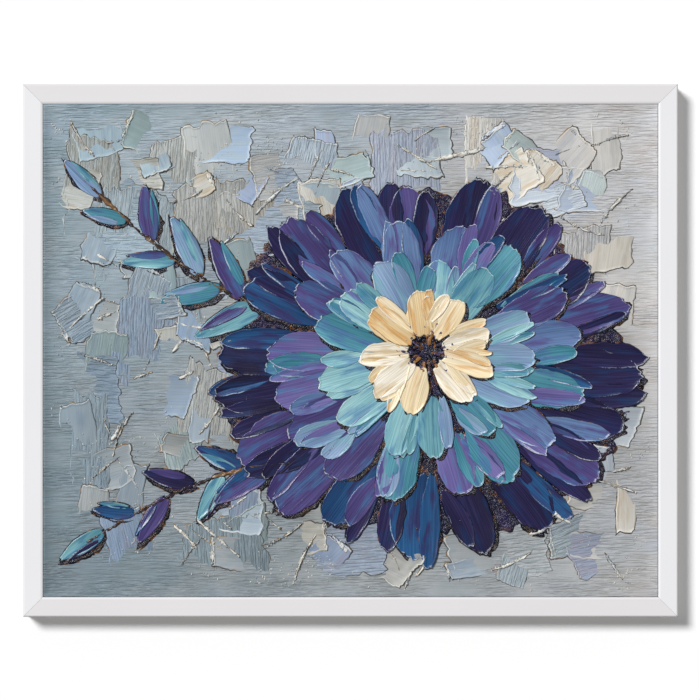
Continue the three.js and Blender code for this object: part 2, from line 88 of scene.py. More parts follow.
def add_node(tree, kind, inputs=(), **settings):
    """Adds a node with its settings, and fills its inputs, in order or by key, with values or links.

    A kind without its family name is a shader node. A node given as an input stands for its first output."""
    node = tree.nodes.new(kind if "Node" in kind else f"ShaderNode{kind}")
    for name, value in settings.items():
        setattr(node, name, value)
    for key, value in (inputs if isinstance(inputs, dict) else dict(enumerate(inputs))).items():
        if isinstance(value, bpy.types.Node):
            value = next(socket for socket in value.outputs if socket.enabled)
        if isinstance(value, bpy.types.NodeSocket):
            tree.links.new(value, node.inputs[key])
        else:
            node.inputs[key].default_value = value
    return node


def empty_tree(owner):
    """Gives a material or world an empty node tree, and returns the function that adds nodes to it."""
    owner.use_nodes = True
    owner.node_tree.nodes.clear()
    return functools.partial(add_node, owner.node_tree)


def new_material(name):
    """An empty material, and the function that adds nodes to it."""
    material = bpy.data.materials.new(name)
    return material, empty_tree(material)


def colour(code):
    """A linear RGBA colour from an sRGB hex code."""
    parts = [int(code[i:i + 2], 16) / 255 for i in (1, 3, 5)]
    return np.array([*(c / 12.92 if c <= 0.04045 else ((c + 0.055) / 1.055) ** 2.4 for c in parts), 1.0])


def colours(codes):
    """Linear colours from a row of sRGB hex codes."""
    return [colour(code) for code in codes.split()]


def sun(name, heading, strength, spread_degrees, shadows=True):
    """A sun lamp shining along heading."""
    lamp = bpy.data.objects.new(name, bpy.data.lights.new(name, "SUN"))
    lamp.data.energy = strength
    lamp.data.angle = math.radians(spread_degrees)
    lamp.data.use_shadow = shadows
    lamp.rotation_euler = Vector(heading).to_track_quat("-Z", "Y").to_euler()
    bpy.context.collection.objects.link(lamp)


sun("key_light", heading=(0.47, 1.0, -0.40), strength=2.72, spread_degrees=14)
sun("raking_light", heading=(0.8, 0.42, -0.8), strength=0.75, spread_degrees=8, shadows=False)
sun("back_light", heading=(-0.5, -1.0, -0.45), strength=1.6, spread_degrees=30)

AMBIENT = 0.205
BACKDROP_WHITE = (0.93, 0.93, 0.93, 1)
world = bpy.data.worlds.new("studio")
bpy.context.scene.world = world
add = empty_tree(world)
light_path = add("LightPath")
room = add("Background", {"Color": (1, 1, 1, 1), "Strength": AMBIENT})
seen = add("Background", {"Color": BACKDROP_WHITE, "Strength": 1.0})
add("OutputWorld", (add("MixShader", (light_path.outputs["Is Camera Ray"], room, seen)),))

WALL_REACH = 1.6
WALL_CLEARANCE = 0.05 * MM
WALL_WHITE = (0.98, 0.98, 0.98, 1)
wall_y = cad_high[1] + WALL_CLEARANCE
wall_mesh = bpy.data.meshes.new("wall")
wall_mesh.from_pydata([(x * WALL_REACH, wall_y, z * WALL_REACH) for x, z in CORNERS], [], [(0, 1, 2, 3)])
wall = bpy.data.objects.new("wall", wall_mesh)
bpy.context.collection.objects.link(wall)

# The wall is one-sided, like a photographer's sheet that is taken away to show the picture's back.
wall_paint, add = new_material("matt_wall_paint")
side = add("NewGeometry")
matt = add("BsdfDiffuse", {"Color": WALL_WHITE})
shown = add("MixShader", (side.outputs["Backfacing"], matt, add("BsdfTransparent")))
add("OutputMaterial", (shown,))
wall_mesh.materials.append(wall_paint)
wall.visible_diffuse = False
wall.visible_glossy = False
wall.visible_transmission = False
wall.visible_shadow = False

# Frame rails
# Four lengths of wood moulding, mitred, glued and pinned, and sprayed with white satin lacquer on the front
# and sides. The backs are bare wood with a little overspray, and the joints show as hairlines.
# The top and bottom rails are painted a little darker than the upright ones, as painted light and shade.
RAIL_SHADED_TONES = {"top": "#e3e1e2", "right": "#ebebee", "bottom": "#e4e1e3", "left": "#ebebed"}
RUNS = {"top": "level", "right": "upright", "bottom": "level", "left": "upright"}
PALE_POPLAR, DARK_POPLAR = colours("#d3ba8e #a98b5c")


def use_material(node, material):
    """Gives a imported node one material."""
    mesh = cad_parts[node].data
    mesh.materials.clear()
    mesh.materials.append(material)


def grain_scale(run, along, across):
    """Pattern scales for a length that runs level or upright."""
    return (across, across, along) if run == "upright" else (along, across, across)


def lacquer(name, tone, run):
    """Sprayed lacquer over wood: even colour, a soft sheen and a faint grain that shows through."""
    material, add = new_material(name)
    place = add("TexCoord")
    spot = place.outputs["Object"]
    drawn = add("Mapping", {"Vector": spot, "Scale": grain_scale(run, 14, 300)})
    grain = add("TexNoise", {"Vector": drawn, "Scale": 1.0, "Detail": 3.0})
    peel = add("TexNoise", {"Vector": spot, "Scale": 700.0, "Detail": 1.0})
    cloud = add("TexNoise", {"Vector": spot, "Scale": 9.0, "Detail": 2.0})
    worn = colour(tone) * (0.95, 0.95, 0.95, 1.0)
    shade = add("Mix", {0: cloud, 6: colour(tone), 7: worn}, data_type="RGBA")

    # Overspray thins out on the faces that look back.
    facing = add("SeparateXYZ", (place.outputs["Normal"],))
    mist = add("Math", (peel, 0.35, facing.outputs["Y"]), operation="MULTIPLY_ADD")
    wood = add("Mix", {0: add("MapRange", (grain, 0.4, 0.62)), 6: PALE_POPLAR, 7: DARK_POPLAR},
               data_type="RGBA")
    skin = add("Mix", {0: add("MapRange", (mist, 0.86, 1.12)), 6: shade, 7: wood}, data_type="RGBA")
    grained = add("Bump", {"Strength": 0.18, "Distance": 0.06 * MM, "Height": grain})
    bump = add("Bump", {"Strength": 0.25, "Distance": 0.03 * MM, "Height": peel, "Normal": grained})
    sheen = add("MapRange", (grain, 0.0, 1.0, 0.36, 0.5))
    body = add("BsdfPrincipled", {"Base Color": skin, "Roughness": sheen, "IOR": 1.48, "Normal": bump})
    add("OutputMaterial", (body,))
    return material


for name, run in RUNS.items():
    use_material(f"frame_rail_{name}", lacquer(f"white_lacquer_{name}", RAIL_SHADED_TONES[name], run))

# Mitre joints
# Each pair of rails is glued along a 45 degree cut. The lacquer sinks a little into the joint, so the glue
# line is a sliver that stands just under the face.
FACE_WIDTH_MM = 16
LIP_DEPTH_MM = 4
WALL_WIDTH_MM = 13
EASED_MM = 1.2
BEVEL_MM = (1.6, 0.4)
SUNK_MM = 0.15
JOINT_HALF_MM = 0.1
FRONT_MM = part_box("frame_rail_top")[0][1] / MM
BACK_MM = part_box("frame_rail_top")[1][1] / MM
HALF_FRAME_MM = (cad_high[0] / MM, cad_high[2] / MM)
VALUE_KINDS = {1: ("FLOAT", "value"), 3: ("FLOAT_VECTOR", "vector"), 4: ("FLOAT_COLOR", "color")}


def give_values(piece, name, rows):
    """Stores a number, a vector or a colour for each point of a piece."""
    data = np.asarray(rows, np.float32)
    kind, field = VALUE_KINDS[data.shape[1]]
    piece.data.attributes.new(name, kind, "POINT").data.foreach_set(field, data.ravel())


def make_piece(name, points, faces=(), materials=(), smooth=True, **values):
    """A mesh object at the origin from points in metres, with values for each point."""
    mesh = bpy.data.meshes.new(name)
    mesh.from_pydata(points, [], faces)
    for material in materials:
        mesh.materials.append(material)
    mesh.polygons.foreach_set("use_smooth", [smooth] * len(mesh.polygons))
    mesh.update()
    piece = bpy.data.objects.new(name, mesh)
    bpy.context.collection.objects.link(piece)
    for value_name, rows in values.items():
        give_values(piece, value_name, rows)
    return piece


def closed_piece(name, forms, materials=(), smooth=True, **values):
    """A piece of closed forms, each of them loops of points in millimetres, skinned over and capped."""
    points, faces = [], []
    for loops in forms:
        start, count = len(points), len(loops[0])
        points += [tuple(c * MM for c in point) for loop in loops for point in loop]
        last = len(points) - count
        for i in range(start, last, count):
            faces += [[i + k, i + (k + 1) % count, i + count + (k + 1) % count, i + count + k]
                      for k in range(count)]
        faces += [list(range(start, start + count)), list(range(last, last + count))]
    piece = make_piece(name, points, faces, materials, smooth, **values)
    shell = bmesh.new()
    shell.from_mesh(piece.data)
    bmesh.ops.remove_doubles(shell, verts=shell.verts, dist=0.001 * MM)
    bmesh.ops.recalc_face_normals(shell, faces=shell.faces)
    shell.to_mesh(piece.data)
    shell.free()
    return piece


def fix(piece, slot, *replaced):
    """Fixes a piece to the picture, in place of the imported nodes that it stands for."""
    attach(piece, "root")
    if replaced:
        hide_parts(*replaced)


glue, add = new_material("wood_glue_under_lacquer")
mottle = add("TexNoise", {"Vector": add("TexCoord").outputs["Object"], "Scale": 160.0, "Detail": 2.0})
tint = add("Mix", {0: mottle, 6: colour("#bdbab6"), 7: colour("#8f8b87")}, data_type="RGBA")
add("OutputMaterial", (add("BsdfPrincipled", {"Base Color": tint, "Roughness": 0.6, "IOR": 1.5}),))

front, back, face = FRONT_MM + SUNK_MM, BACK_MM - SUNK_MM, FACE_WIDTH_MM - SUNK_MM
lip_back, rebate = FRONT_MM + LIP_DEPTH_MM - SUNK_MM, WALL_WIDTH_MM - SUNK_MM
JOINT_SECTION = [
    (SUNK_MM, front + EASED_MM), (SUNK_MM + EASED_MM, front), (FACE_WIDTH_MM - BEVEL_MM[0], front),
    (face, front + BEVEL_MM[1]), (face, lip_back), (rebate, lip_back), (rebate, back),
    (SUNK_MM + EASED_MM, back), (SUNK_MM, back - EASED_MM),
]
slip = JOINT_HALF_MM / math.sqrt(2)
slivers = [[[(sign_x * (HALF_FRAME_MM[0] - inward + step), depth, sign_z * (HALF_FRAME_MM[1] - inward - step))
             for inward, depth in JOINT_SECTION] for step in (-slip, slip)] for sign_x, sign_z in CORNERS]
fix(closed_piece("mitre_glue_lines", slivers, [glue], smooth=False), "frame_lacquer")

# Paint
# Heavy oil paint, laid on with a palette knife. Each stroke is its own slab: thin at the root, thicker where
# the blade lifts off, pressed flat, with a crisp rim along its edges that carries a painted highlight, and a
# steep foot painted dark as shade.
GAP_MM = 0.3
GROUND_FRONT_MM = FRONT_MM + LIP_DEPTH_MM + GAP_MM
HALF_WIDTH_MM, _, HALF_HEIGHT_MM = (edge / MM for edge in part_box("paint_ground")[1])
TOP_LIMIT_MM = LIP_DEPTH_MM
RIDGE_LIMIT_MM = 2.6
EDGE_STEPS_MM = np.array([0, 0.4, 0.8, 1.2, 1.65, 2.2, 3.0, 4.1])
FOOT_MM = 1.35
RIDGE_FOOT_MM = 0.7
RIM_FROM_EDGE_MM = 1.75
RIM_HALF_MM = 0.5
RIM_RISE_MM = 0.9
BURIED_MM = 0.2
THINNEST_MM = 0.15


def scatter(seed):
    """The same uneven value from -1 to 1 that the solids use."""
    wave = math.sin(seed * 12.9898) * 43758.5453
    return 2 * (wave - math.floor(wave)) - 1


def ripple(x, y, seed):
    """Smooth noise from -1 to 1 over unit cells."""
    x, y = np.broadcast_arrays(np.asarray(x, float), np.asarray(y, float))
    cell_x, cell_y = np.floor(x), np.floor(y)
    near_x, near_y = x - cell_x, y - cell_y
    near_x = near_x * near_x * (3 - 2 * near_x)
    near_y = near_y * near_y * (3 - 2 * near_y)

    def corner(i, j):
        wave = np.sin((cell_x + i) * 127.1 + (cell_y + j) * 311.7 + seed * 74.7) * 43758.5453
        return 2 * (wave - np.floor(wave)) - 1

    low = corner(0, 0) * (1 - near_x) + corner(1, 0) * near_x
    high = corner(0, 1) * (1 - near_x) + corner(1, 1) * near_x
    return low * (1 - near_y) + high * near_y


def rough(x, y, seed):
    """Three layers of noise, each twice as fine and half as strong as the last."""
    return sum(ripple(x * 2 ** i, y * 2 ** i, seed + 13 * i) / 2 ** i for i in range(3)) / 1.6


def spaced(length, step):
    """Distances from 0 to length in millimetres, closer together near both ends."""
    near = EDGE_STEPS_MM * min(1, length / (3 * EDGE_STEPS_MM[-1]))
    middle = np.linspace(near[-1], length - near[-1], max(2, int((length - 2 * near[-1]) / step)) + 1)
    return np.concatenate([near[:-1], middle, (length - near[:-1])[::-1]])


def aside(root, heading, ahead, left=0.0):
    """The point that lies a distance ahead of a root along a heading, and one to the left."""
    return (root[0] + ahead * math.cos(heading) - left * math.sin(heading),
            root[1] + ahead * math.sin(heading) + left * math.cos(heading))


class Slabs:
    """Paint grids gathered in one mesh, each closed underneath; those below the bloom stay thin there."""

    def __init__(self, below=False):
        self.points, self.faces, self.values, self.count = [], [], {}, 0
        self.below = below

    def keep(self, x, z, rise, values):
        """Stores the points of one grid and the values that its paint varies by."""
        self.points.append(np.stack([x, GROUND_FRONT_MM - rise, z], axis=-1).reshape(-1, 3) * MM)
        for name, value in values.items():
            value = np.asarray(value, float)
            if value.ndim in (0, 2):
                value = np.broadcast_to(value, x.shape)[..., None]
            wide = value.shape[-1]
            rows = np.broadcast_to(value, (*x.shape, wide)).reshape(-1, wide)
            self.values.setdefault(name, []).append(rows)
        self.count += x.size

    def add(self, x, z, rise, **values):
        """One grid, with its edge rows lying on its underside."""
        index = self.count + np.arange(x.size).reshape(x.shape)
        top = np.stack([index[:-1, :-1], index[:-1, 1:], index[1:, 1:], index[1:, :-1]], -1).reshape(-1, 4)
        under = np.stack([index[1:-2, 0], index[2:-1, 0], index[2:-1, -1], index[1:-2, -1]], -1)
        self.faces += top.tolist() + under.tolist()
        self.faces.append([index[1, -1], *index[0, ::-1], index[1, 0]])
        self.faces.append([index[-2, 0], *index[-1, :], index[-2, -1]])
        self.keep(x, z, rise, values)

    def add_disc(self, x, z, rise, **values):
        """A round grid of rings by spokes, closed by a flat face under its outer ring."""
        index = self.count + np.arange(x.size).reshape(x.shape)
        turned = np.roll(index, -1, axis=1)
        self.faces += np.stack([index[:-1], index[1:], turned[1:], turned[:-1]], -1).reshape(-1, 4).tolist()
        self.faces += [index[0].tolist(), index[-1, ::-1].tolist()]
        self.keep(x, z, rise, values)

    def lay(self, name, material, slot, *replaced):
        """Makes the piece of all the slabs and fixes it to the picture."""
        values = {value_name: np.concatenate(parts) for value_name, parts in self.values.items()}
        piece = make_piece(name, np.concatenate(self.points).tolist(), self.faces, [material], **values)
        fix(piece, slot, *replaced)
        return piece


BLOOM_CENTRE_MM = (62, -14)
BLOOM_SQUASH = 0.9
BLOOM_REACH_MM = 172
SPRAY_LINES_MM = [[(-60, 34), (-120, 44), (-206, 128)], [(-48, -92), (-112, -92), (-204, -150)]]
SPRAY_REACH_MM = 26
COVERED_RISE_MM = 1.0
COVER_MARGIN_MM = -3


def curve_point(stem, t):
    """A point of a curve with one control point, and its heading."""
    a, b, c = (np.array(p, float) for p in stem)
    spot = a * (1 - t) ** 2 + 2 * b * t * (1 - t) + c * t ** 2
    ahead = 2 * (b - a) * (1 - t) + 2 * (c - b) * t
    return spot, math.atan2(ahead[1], ahead[0])


SPRAY_SPOTS_MM = [curve_point(stem, i / 10)[0] for stem in SPRAY_LINES_MM for i in range(11)]


def bloom_distance(x, z):
    """Distance from the bloom's centre, which is squashed because it is seen from below."""
    return np.hypot(x - BLOOM_CENTRE_MM[0], (z - BLOOM_CENTRE_MM[1]) / BLOOM_SQUASH)


def open_ground(x, z, margin):
    """True where the ground is bare of bloom and leaves by a margin."""
    from_sprays = np.min([np.hypot(x - spot[0], z - spot[1]) for spot in SPRAY_SPOTS_MM], axis=0)
    return np.minimum(bloom_distance(x, z) - BLOOM_REACH_MM, from_sprays - SPRAY_REACH_MM) > margin


def knife_stroke(slabs, root, angle, length, width, rise, tones, seed, *, shape="petal", bend=0.0, step=1.9,
                 tilt=0.0, rim=1.0, ragged=1.0, comb=0.0, lift=0.34, slant=0.0, bare_from=-0.05):
    """Adds one stroke, from its root along an angle in the picture's plane."""
    s = spaced(length, step)[:, None]
    v = (2 * spaced(width, step) / width - 1)[None, :]
    u = s / length

    # Outline: half the width along the stroke, with wandering sides, nicks and ragged ends.
    if shape == "petal":
        spread = 0.40 + 0.60 * np.sin(math.pi / 2 * np.minimum(u / 0.55, 1)) ** 0.9
        spread = spread * np.sqrt(np.maximum(1 - np.maximum((u - 0.55) / 0.45, 0) ** 2.6 * 0.84, 0))
        round_end = 0.07
    elif shape == "leaf":
        spread = 0.18 + 0.82 * np.sin(math.pi * u ** 0.75) ** 0.75
        round_end = 0.03
    elif shape == "ridge":
        spread = 0.3 + 0.55 * np.sin(math.pi * u) ** 0.5
        spread = spread + 0.35 * ripple(s / 6, 0, seed) + 0.3 * ripple(s / 2.3, 0, seed)
        spread = np.maximum(spread, 0.12)
        round_end = 0.0
    else:
        spread = 0.90 + 0.10 * np.sin(math.pi * u) + 0.05 * ripple(u * 2.5, 0, seed)
        round_end = 0.02
    wander = ripple(s / 9, np.sign(v) * 3.3, seed) + 0.35 * ripple(s / 3.1, np.sign(v) * 1.7, seed + 4)
    half = 0.5 * width * spread * (1 + 0.06 * ragged * wander)
    nicks = 0.35 * ragged * ripple(s / 1.9, np.sign(v) * 2.1, seed + 5) * np.abs(v) ** 9
    across = v * half + nicks
    end_wander = 0.022 * length * ripple(v * width / 9, 2.0, seed + 6)
    end_wander = ragged * (end_wander + 0.55 * ripple(v * width / 2.6, 5.0, seed + 7))
    along = length * u * (1 - round_end * v ** 2 * u) + end_wander * u ** 6 + slant * across * u ** 3
    along = along + ragged * 0.03 * length * ripple(v * width / 6, 9.0, seed + 8) * (1 - u) ** 3

    # Path: the heading turns by the bend from end to end.
    turn = angle + bend * (u - 0.5)
    steps = np.diff(s, axis=0, prepend=0)
    slip = along - s
    x = root[0] + np.cumsum(steps * np.cos(turn), axis=0) + slip * np.cos(turn) - across * np.sin(turn)
    z = root[1] + np.cumsum(steps * np.sin(turn), axis=0) + slip * np.sin(turn) + across * np.cos(turn)

    # Rims stand highest on the side that faces down and to the left, where the blade was drawn; the crest
    #     # also carries a painted highlight, brightest on that side.
    side_gap = (1 - np.abs(v)) * half
    tip_gap = length - s
    sides = np.where(v > 0, 0.72 + 0.45 * scatter(seed + 1), 0.72 + 0.45 * scatter(seed + 2))
    sides = sides * np.clip(0.75 + 0.9 * ripple(s / 12, np.sign(v), seed + 9), 0, 1.2)
    facing = np.sign(v) * (0.6 * np.sin(turn) - 0.8 * np.cos(turn))
    sides = sides * (0.35 + 1.0 * np.clip(facing, 0, 1))
    bare = np.clip((u - bare_from) / 0.3, 0, 1)
    side_rim = np.exp(-((side_gap - RIM_FROM_EDGE_MM) / RIM_HALF_MM) ** 2) * sides * bare
    tip_rim = np.exp(-((tip_gap - RIM_FROM_EDGE_MM) / RIM_HALF_MM) ** 2)
    tip_rim = tip_rim * (0.85 + 0.4 * ripple(v * width / 9, 3.0, seed + 10))
    crest = np.maximum(np.maximum(side_rim, tip_rim), 0)

    # Height: pressed flat by the blade, with low swells and fine drag marks.
    if shape == "ridge":
        torn = 0.5 * ripple(s / 9, 0, seed + 14) + 0.5 * ripple(s / 2.6, v * 1.5, seed)
        top = rise * (0.4 + 0.45 * (1 - v ** 2) + torn)
        # A ridge's crest value rises towards its top, which gets the painted highlight.
        crest = np.clip(1.7 * top / rise - 0.75, 0, 1)
        top = np.clip(top, THINNEST_MM, RIDGE_LIMIT_MM)
    elif shape == "patch":
        # A patch thins out behind the blade, so that its root and one side run out into the paint below.
        top = rise * (u * 1.5 - 0.42 + 0.42 * tilt * v + 0.3 * rough(s / 13, across / 9, seed + 13))
        top = np.minimum(top, rise) + RIM_RISE_MM * rim * crest
    else:
        level = 1 - lift + lift * u ** 1.2 - 0.14 * (1 - v ** 2) + 0.3 * tilt * v
        level = level + 0.012 * ripple(across / 1.4, s / 70, seed + 11)
        level = level + 0.035 * ripple(across / 16, s / 11, seed + 12)
        top = np.maximum(rise * level + RIM_RISE_MM * rim * crest, THINNEST_MM)
    top = np.minimum(top, TOP_LIMIT_MM)
    if slabs.below:
        top = np.where(open_ground(x, z, COVER_MARGIN_MM), top, np.minimum(top, COVERED_RISE_MM))
    # The foot is the steep outer edge; its value darkens the colour there as painted shade.
    foot_mm = RIDGE_FOOT_MM if shape == "ridge" else FOOT_MM
    fall = np.minimum(np.minimum(side_gap, tip_gap), s / 1.6) / foot_mm
    fall = np.clip(fall, 0, 1)
    surface = (np.maximum(top, 0.02 - BURIED_MM) + BURIED_MM) * fall ** 0.75 - BURIED_MM

    # Colour: the tones swirl into one another; the side that faces down and to the left is painted lighter
    #     # and the other side darker, as painted light and shade, and each stroke is a little lighter at its
    #     tip.
    swirl = 0.5 + 0.55 * scatter(seed + 14) * (u - 0.5) * 2 + 0.5 * scatter(seed + 15) * v
    swirl = np.clip(swirl + 0.3 * ripple(s / 28, across / 13, seed + 16), 0, 1)
    blade = np.stack(np.broadcast_arrays(s + 0 * v, across, (seed % 97) * 3.7), axis=-1)
    side_shading = 1 + 0.2 * facing * np.abs(v) + 0.08 * (u - 0.5)
    tones = [tone * np.stack([side_shading, side_shading, side_shading, np.ones_like(side_shading)], axis=-1) for tone in tones]
    slabs.add(x, z, surface, tone_a=tones[0], tone_b=tones[1], tone_c=tones[2], blade=blade, blend=swirl,
              crest=np.clip(crest * rim, 0, 1), foot=1 - fall, comb=comb, loose=float(shape == "ridge"))


CARRIED = {"blade": "Vector", "blend": "Fac", "comb": "Fac", "crest": "Fac", "foot": "Fac",
           "tone_a": "Color", "tone_b": "Color", "tone_c": "Color"}


def oil_paint(name, grime_and_shade, stain_and_shade, pale, rim_highlight_share, *, grit=False, streaks=(0.76, 1.2),
              roughness=(0.2, 0.34)):
    """Dried oil paint: half-mixed tones drawn out by the blade, a painted highlight on the rims, painted
    shade at the foot.
    """
    material, add = new_material(name)
    spot = add("TexCoord").outputs["Object"]
    own = {value_name: add("Attribute", attribute_name=value_name).outputs[output]
           for value_name, output in CARRIED.items()}

    # Bristle-fine streaks some 0.9 mm wide and 50 mm long, nearly straight.
    drawn = add("Mapping", {"Vector": own["blade"], "Scale": (0.02, 1.1, 1)})
    streak = add("TexNoise", {"Vector": drawn, "Scale": 1.0, "Detail": 3.0, "Roughness": 0.55})
    # A third tone lies in patches some 29 mm long and 7 mm wide, where the paint was only half mixed.
    pulled = add("Mapping", {"Vector": own["blade"], "Scale": (0.035, 0.15, 1)})
    marble = add("TexNoise", {"Vector": pulled, "Scale": 1.0, "Detail": 4.0, "Distortion": 0.3})
    share = add("Math", (streak, 0.55, own["blend"]), operation="MULTIPLY_ADD")
    mixed = add("Mix", {0: add("MapRange", (share, 0.12, 1.42)), 6: own["tone_a"], 7: own["tone_b"]},
                data_type="RGBA")
    mixed = add("Mix", {0: add("MapRange", (marble, 0.5, 0.64, 0.0, 0.85)), 6: mixed, 7: own["tone_c"]},
                data_type="RGBA")
    mixed = add("VectorMath", {0: mixed, "Scale": add("MapRange", (streak, 0.3, 0.7, *streaks))},
                operation="SCALE")

    # Comb ridges some 1.5 mm wide and 15 mm long, bumped and with painted shade: darker in the grooves,
    #     # lighter on the ridges.
    combed = add("Mapping", {"Vector": own["blade"], "Scale": (0.065, 0.65, 1)})
    groove = add("TexNoise", {"Vector": combed, "Scale": 1.0, "Detail": 2.0, "Distortion": 0.35})
    cut = add("Math", (add("MapRange", (groove, 0.36, 0.62, -0.5, 0.5)), own["comb"]), operation="MULTIPLY")
    mixed = add("VectorMath", {0: mixed, "Scale": add("MapRange", (cut, -0.5, 0.5, 0.91, 1.05))},
                operation="SCALE")

    # Specks 0.7 to 1.4 mm across, and a dark colour that drifts between two tones in zones some 7 mm
    #     # across: it paints the shade at the feet, and the dark flecks of gritty paint.
    speck = add("TexNoise", {"Vector": spot, "Scale": 700.0, "Detail": 2.0, "Roughness": 0.6})
    hue = add("TexNoise", {"Vector": spot, "Scale": 150.0, "Detail": 1.0})
    shade_and_fleck = add("Mix", {0: add("MapRange", (hue, 0.53, 0.6)), 6: colour(grime_and_shade), 7: colour(stain_and_shade)},
               data_type="RGBA")

    # Rims get a painted highlight, pale and broken up along their length; feet are painted dark as shade.
    broken = add("MapRange", (speck, 0.35, 0.58, 0.5, 1.15))
    rimmed = add("Math", (own["crest"], broken), operation="MULTIPLY")
    skin = add("Mix", {0: add("MapRange", (rimmed, 0.2, 0.85, 0.0, rim_highlight_share)), 6: mixed, 7: colour(pale)},
               data_type="RGBA")
    foot = add("Math", (add("MapRange", (speck, 0.35, 0.65, 0.6, 1.5)), own["foot"]), operation="MULTIPLY")
    skin = add("Mix", {0: add("MapRange", (foot, 0.06, 0.42)), 6: skin, 7: shade_and_fleck}, data_type="RGBA")
    relief = add("Math", (streak, 0.18, cut), operation="MULTIPLY_ADD")
    bump = add("Bump", {"Strength": 0.85, "Distance": 0.9 * MM, "Height": relief})
    if grit:
        # Gritty paint carries pale and stained flecks, some 2.4 mm across, and a broken surface.
        fleck = add("TexNoise", {"Vector": spot, "Scale": 420.0, "Detail": 3.0, "Roughness": 0.65,
                                 "Distortion": 1.2})
        skin = add("Mix", {0: add("MapRange", (fleck, 0.66, 0.7)), 6: skin, 7: colour(pale)},
                   data_type="RGBA")
        skin = add("Mix", {0: add("MapRange", (fleck, 0.4, 0.36)), 6: skin, 7: shade_and_fleck}, data_type="RGBA")
        bump = add("Bump", {"Strength": 0.8, "Distance": 0.9 * MM, "Height": fleck, "Normal": bump})
    grain = add("Bump", {"Strength": 0.12, "Distance": 0.25 * MM, "Height": speck, "Normal": bump})
    satin = add("MapRange", (streak, 0.3, 0.7, *roughness))
    body = add("BsdfPrincipled", {"Base Color": skin, "Roughness": satin, "IOR": 1.42, "Normal": grain})
    add("OutputMaterial", (body,))
    return material


# Ground
# The first coat covers the whole canvas: greige and blue-grey, worked level with a notched knife, so that it
# has fine grooves and slow swells, and piled up a little where the blade met the frame's lip.
GROUND_CELL_MM = 2.4
PLATE_MM = 0.8
LIP_PILE_MM = 2.6
LIP_PILE_REACH_MM = 5
LIP_COVER_MM = 2
COVERED_EDGE_MM = 0.2
LIP_LINES_MM = np.array([0, 0.9, 1.8, 2.5, 3.4, 4.6])
COOL, WARM, PALE, MIST, STAIN = colours("#90a6b1 #bcb9b8 #c6c7c6 #a3b0c3 #7d7361")
# Dark greige and ochre-brown paint the shade at the feet; off-white paints the rim highlight.
ground_paint = oil_paint("ground_oil_paint", "#4f4b44", "#86683f", "#efece3", 0.68, streaks=(0.92, 1.07),
                         roughness=(0.42, 0.56))


def daylight(x, z):
    """Painted light on the ground: darker and bluer down the left, paler up the right."""
    return 0.9 + 0.1 * x / HALF_WIDTH_MM + 0.19 * z / HALF_HEIGHT_MM + 0.1 * rough(x / 75, z / 60, 49)


def greige(x, z):
    """The ground's own colour at a place, in which the greige gains on the blue-grey to the right."""
    warmth = np.clip(0.42 + 0.55 * x / HALF_WIDTH_MM + 0.35 * rough(x / 90, z / 80, 41), 0, 1)[..., None]
    return COOL * (1 - warmth) + WARM * warmth


def edged(half, cell):
    """Grid lines from edge to edge, with closer ones beside the lip."""
    middle = np.linspace(LIP_LINES_MM[-1] - half, half - LIP_LINES_MM[-1], int(2 * half / cell))
    return np.concatenate([LIP_LINES_MM[:-1] - half, middle, (half - LIP_LINES_MM[:-1])[::-1]])


def zone(x, z, cell_x, cell_z, seed, middle, strength, low=0):
    """A share from low to 1 that drifts over the ground in cells of a size."""
    return np.clip(middle + strength * rough(x / cell_x, z / cell_z, seed), low, 1)


x, z = np.meshgrid(edged(HALF_WIDTH_MM, GROUND_CELL_MM), edged(HALF_HEIGHT_MM, GROUND_CELL_MM), indexing="ij")
swell = 0.05 + 0.24 * rough(x / 70, z / 55, 3) + 0.10 * rough(x / 15, z / 12, 5)
inside = np.minimum(HALF_WIDTH_MM - np.abs(x), HALF_HEIGHT_MM - np.abs(z))
swell = swell + LIP_PILE_MM * np.exp(-np.maximum(inside - LIP_COVER_MM - 1, 0) / LIP_PILE_REACH_MM)
swell = np.where(inside < LIP_COVER_MM, COVERED_EDGE_MM, swell)
swell = np.where(inside < 0.01, 0.1 - PLATE_MM, swell)
from_bloom = bloom_distance(x, z) / BLOOM_REACH_MM
light = daylight(x, z)[..., None]
drift = zone(x, z, 55, 45, 43, 0.5, 0.9)[..., None]
# Round the bloom the ground is darkened towards ochre-brown: partly a stain, partly painted shade along the
# bloom's edge.
near_bloom = 0.6 * np.exp(-np.maximum(from_bloom - 0.95, 0) / 0.09)
bloom_stain_and_shade = (near_bloom * zone(x, z, 24, 24, 45, 0.6, 1))[..., None]
tone_low = greige(x, z) * light * (1 - bloom_stain_and_shade) + STAIN * bloom_stain_and_shade
tone_high = (PALE * drift + MIST * (1 - drift)) * light * 0.5 + tone_low * 0.5
ground = Slabs()
ground.add(x, z, swell, tone_a=tone_low, tone_b=tone_high, tone_c=STAIN * 0.15 + tone_low * 0.85,
           blade=np.stack([x, z, x * 0], -1), blend=zone(x, z, 26, 20, 47, 0.5, 1), crest=0, foot=0,
           comb=zone(x, z, 24, 15, 63, 0.65, 0.9, low=0.1),
           loose=zone(x, z, 30, 26, 61, -0.35, 2.2) * (from_bloom > 1.05) * (inside > 8))
ground_piece = ground.lay("ground_coat", ground_paint, "paint_ground", "paint_ground")

# Knife patches
# The ground was built up in three goes: broad combed passes, then smaller planes pressed flat in pale blue,
# grey and greige, then scoops whose torn outer edge stands clear and shades the paint below.
PATCH_TONES = [colours(codes) for codes in (
    "#9db0c2 #b3c2cf #8da3bb", "#a6acb1 #bfc1c2 #98a8b0", "#8aa2aa #a3b9c6 #7f93a6",
    "#b7b5b4 #cfcac2 #a9aeb2", "#8098c4 #9db0d4 #9a98ba", "#8ca6a4 #a3b8b4 #86a0a8",
    "#a9bbcb #c3cfd8 #94a6c0", "#aaa9a4 #c9c4b8 #9a9c98", "#7f9dc6 #99b3d2 #93a9ba",
    "#d0c7b4 #e0dacb #c4a878", "#c9c2b2 #d9cfba #b3a68c")]
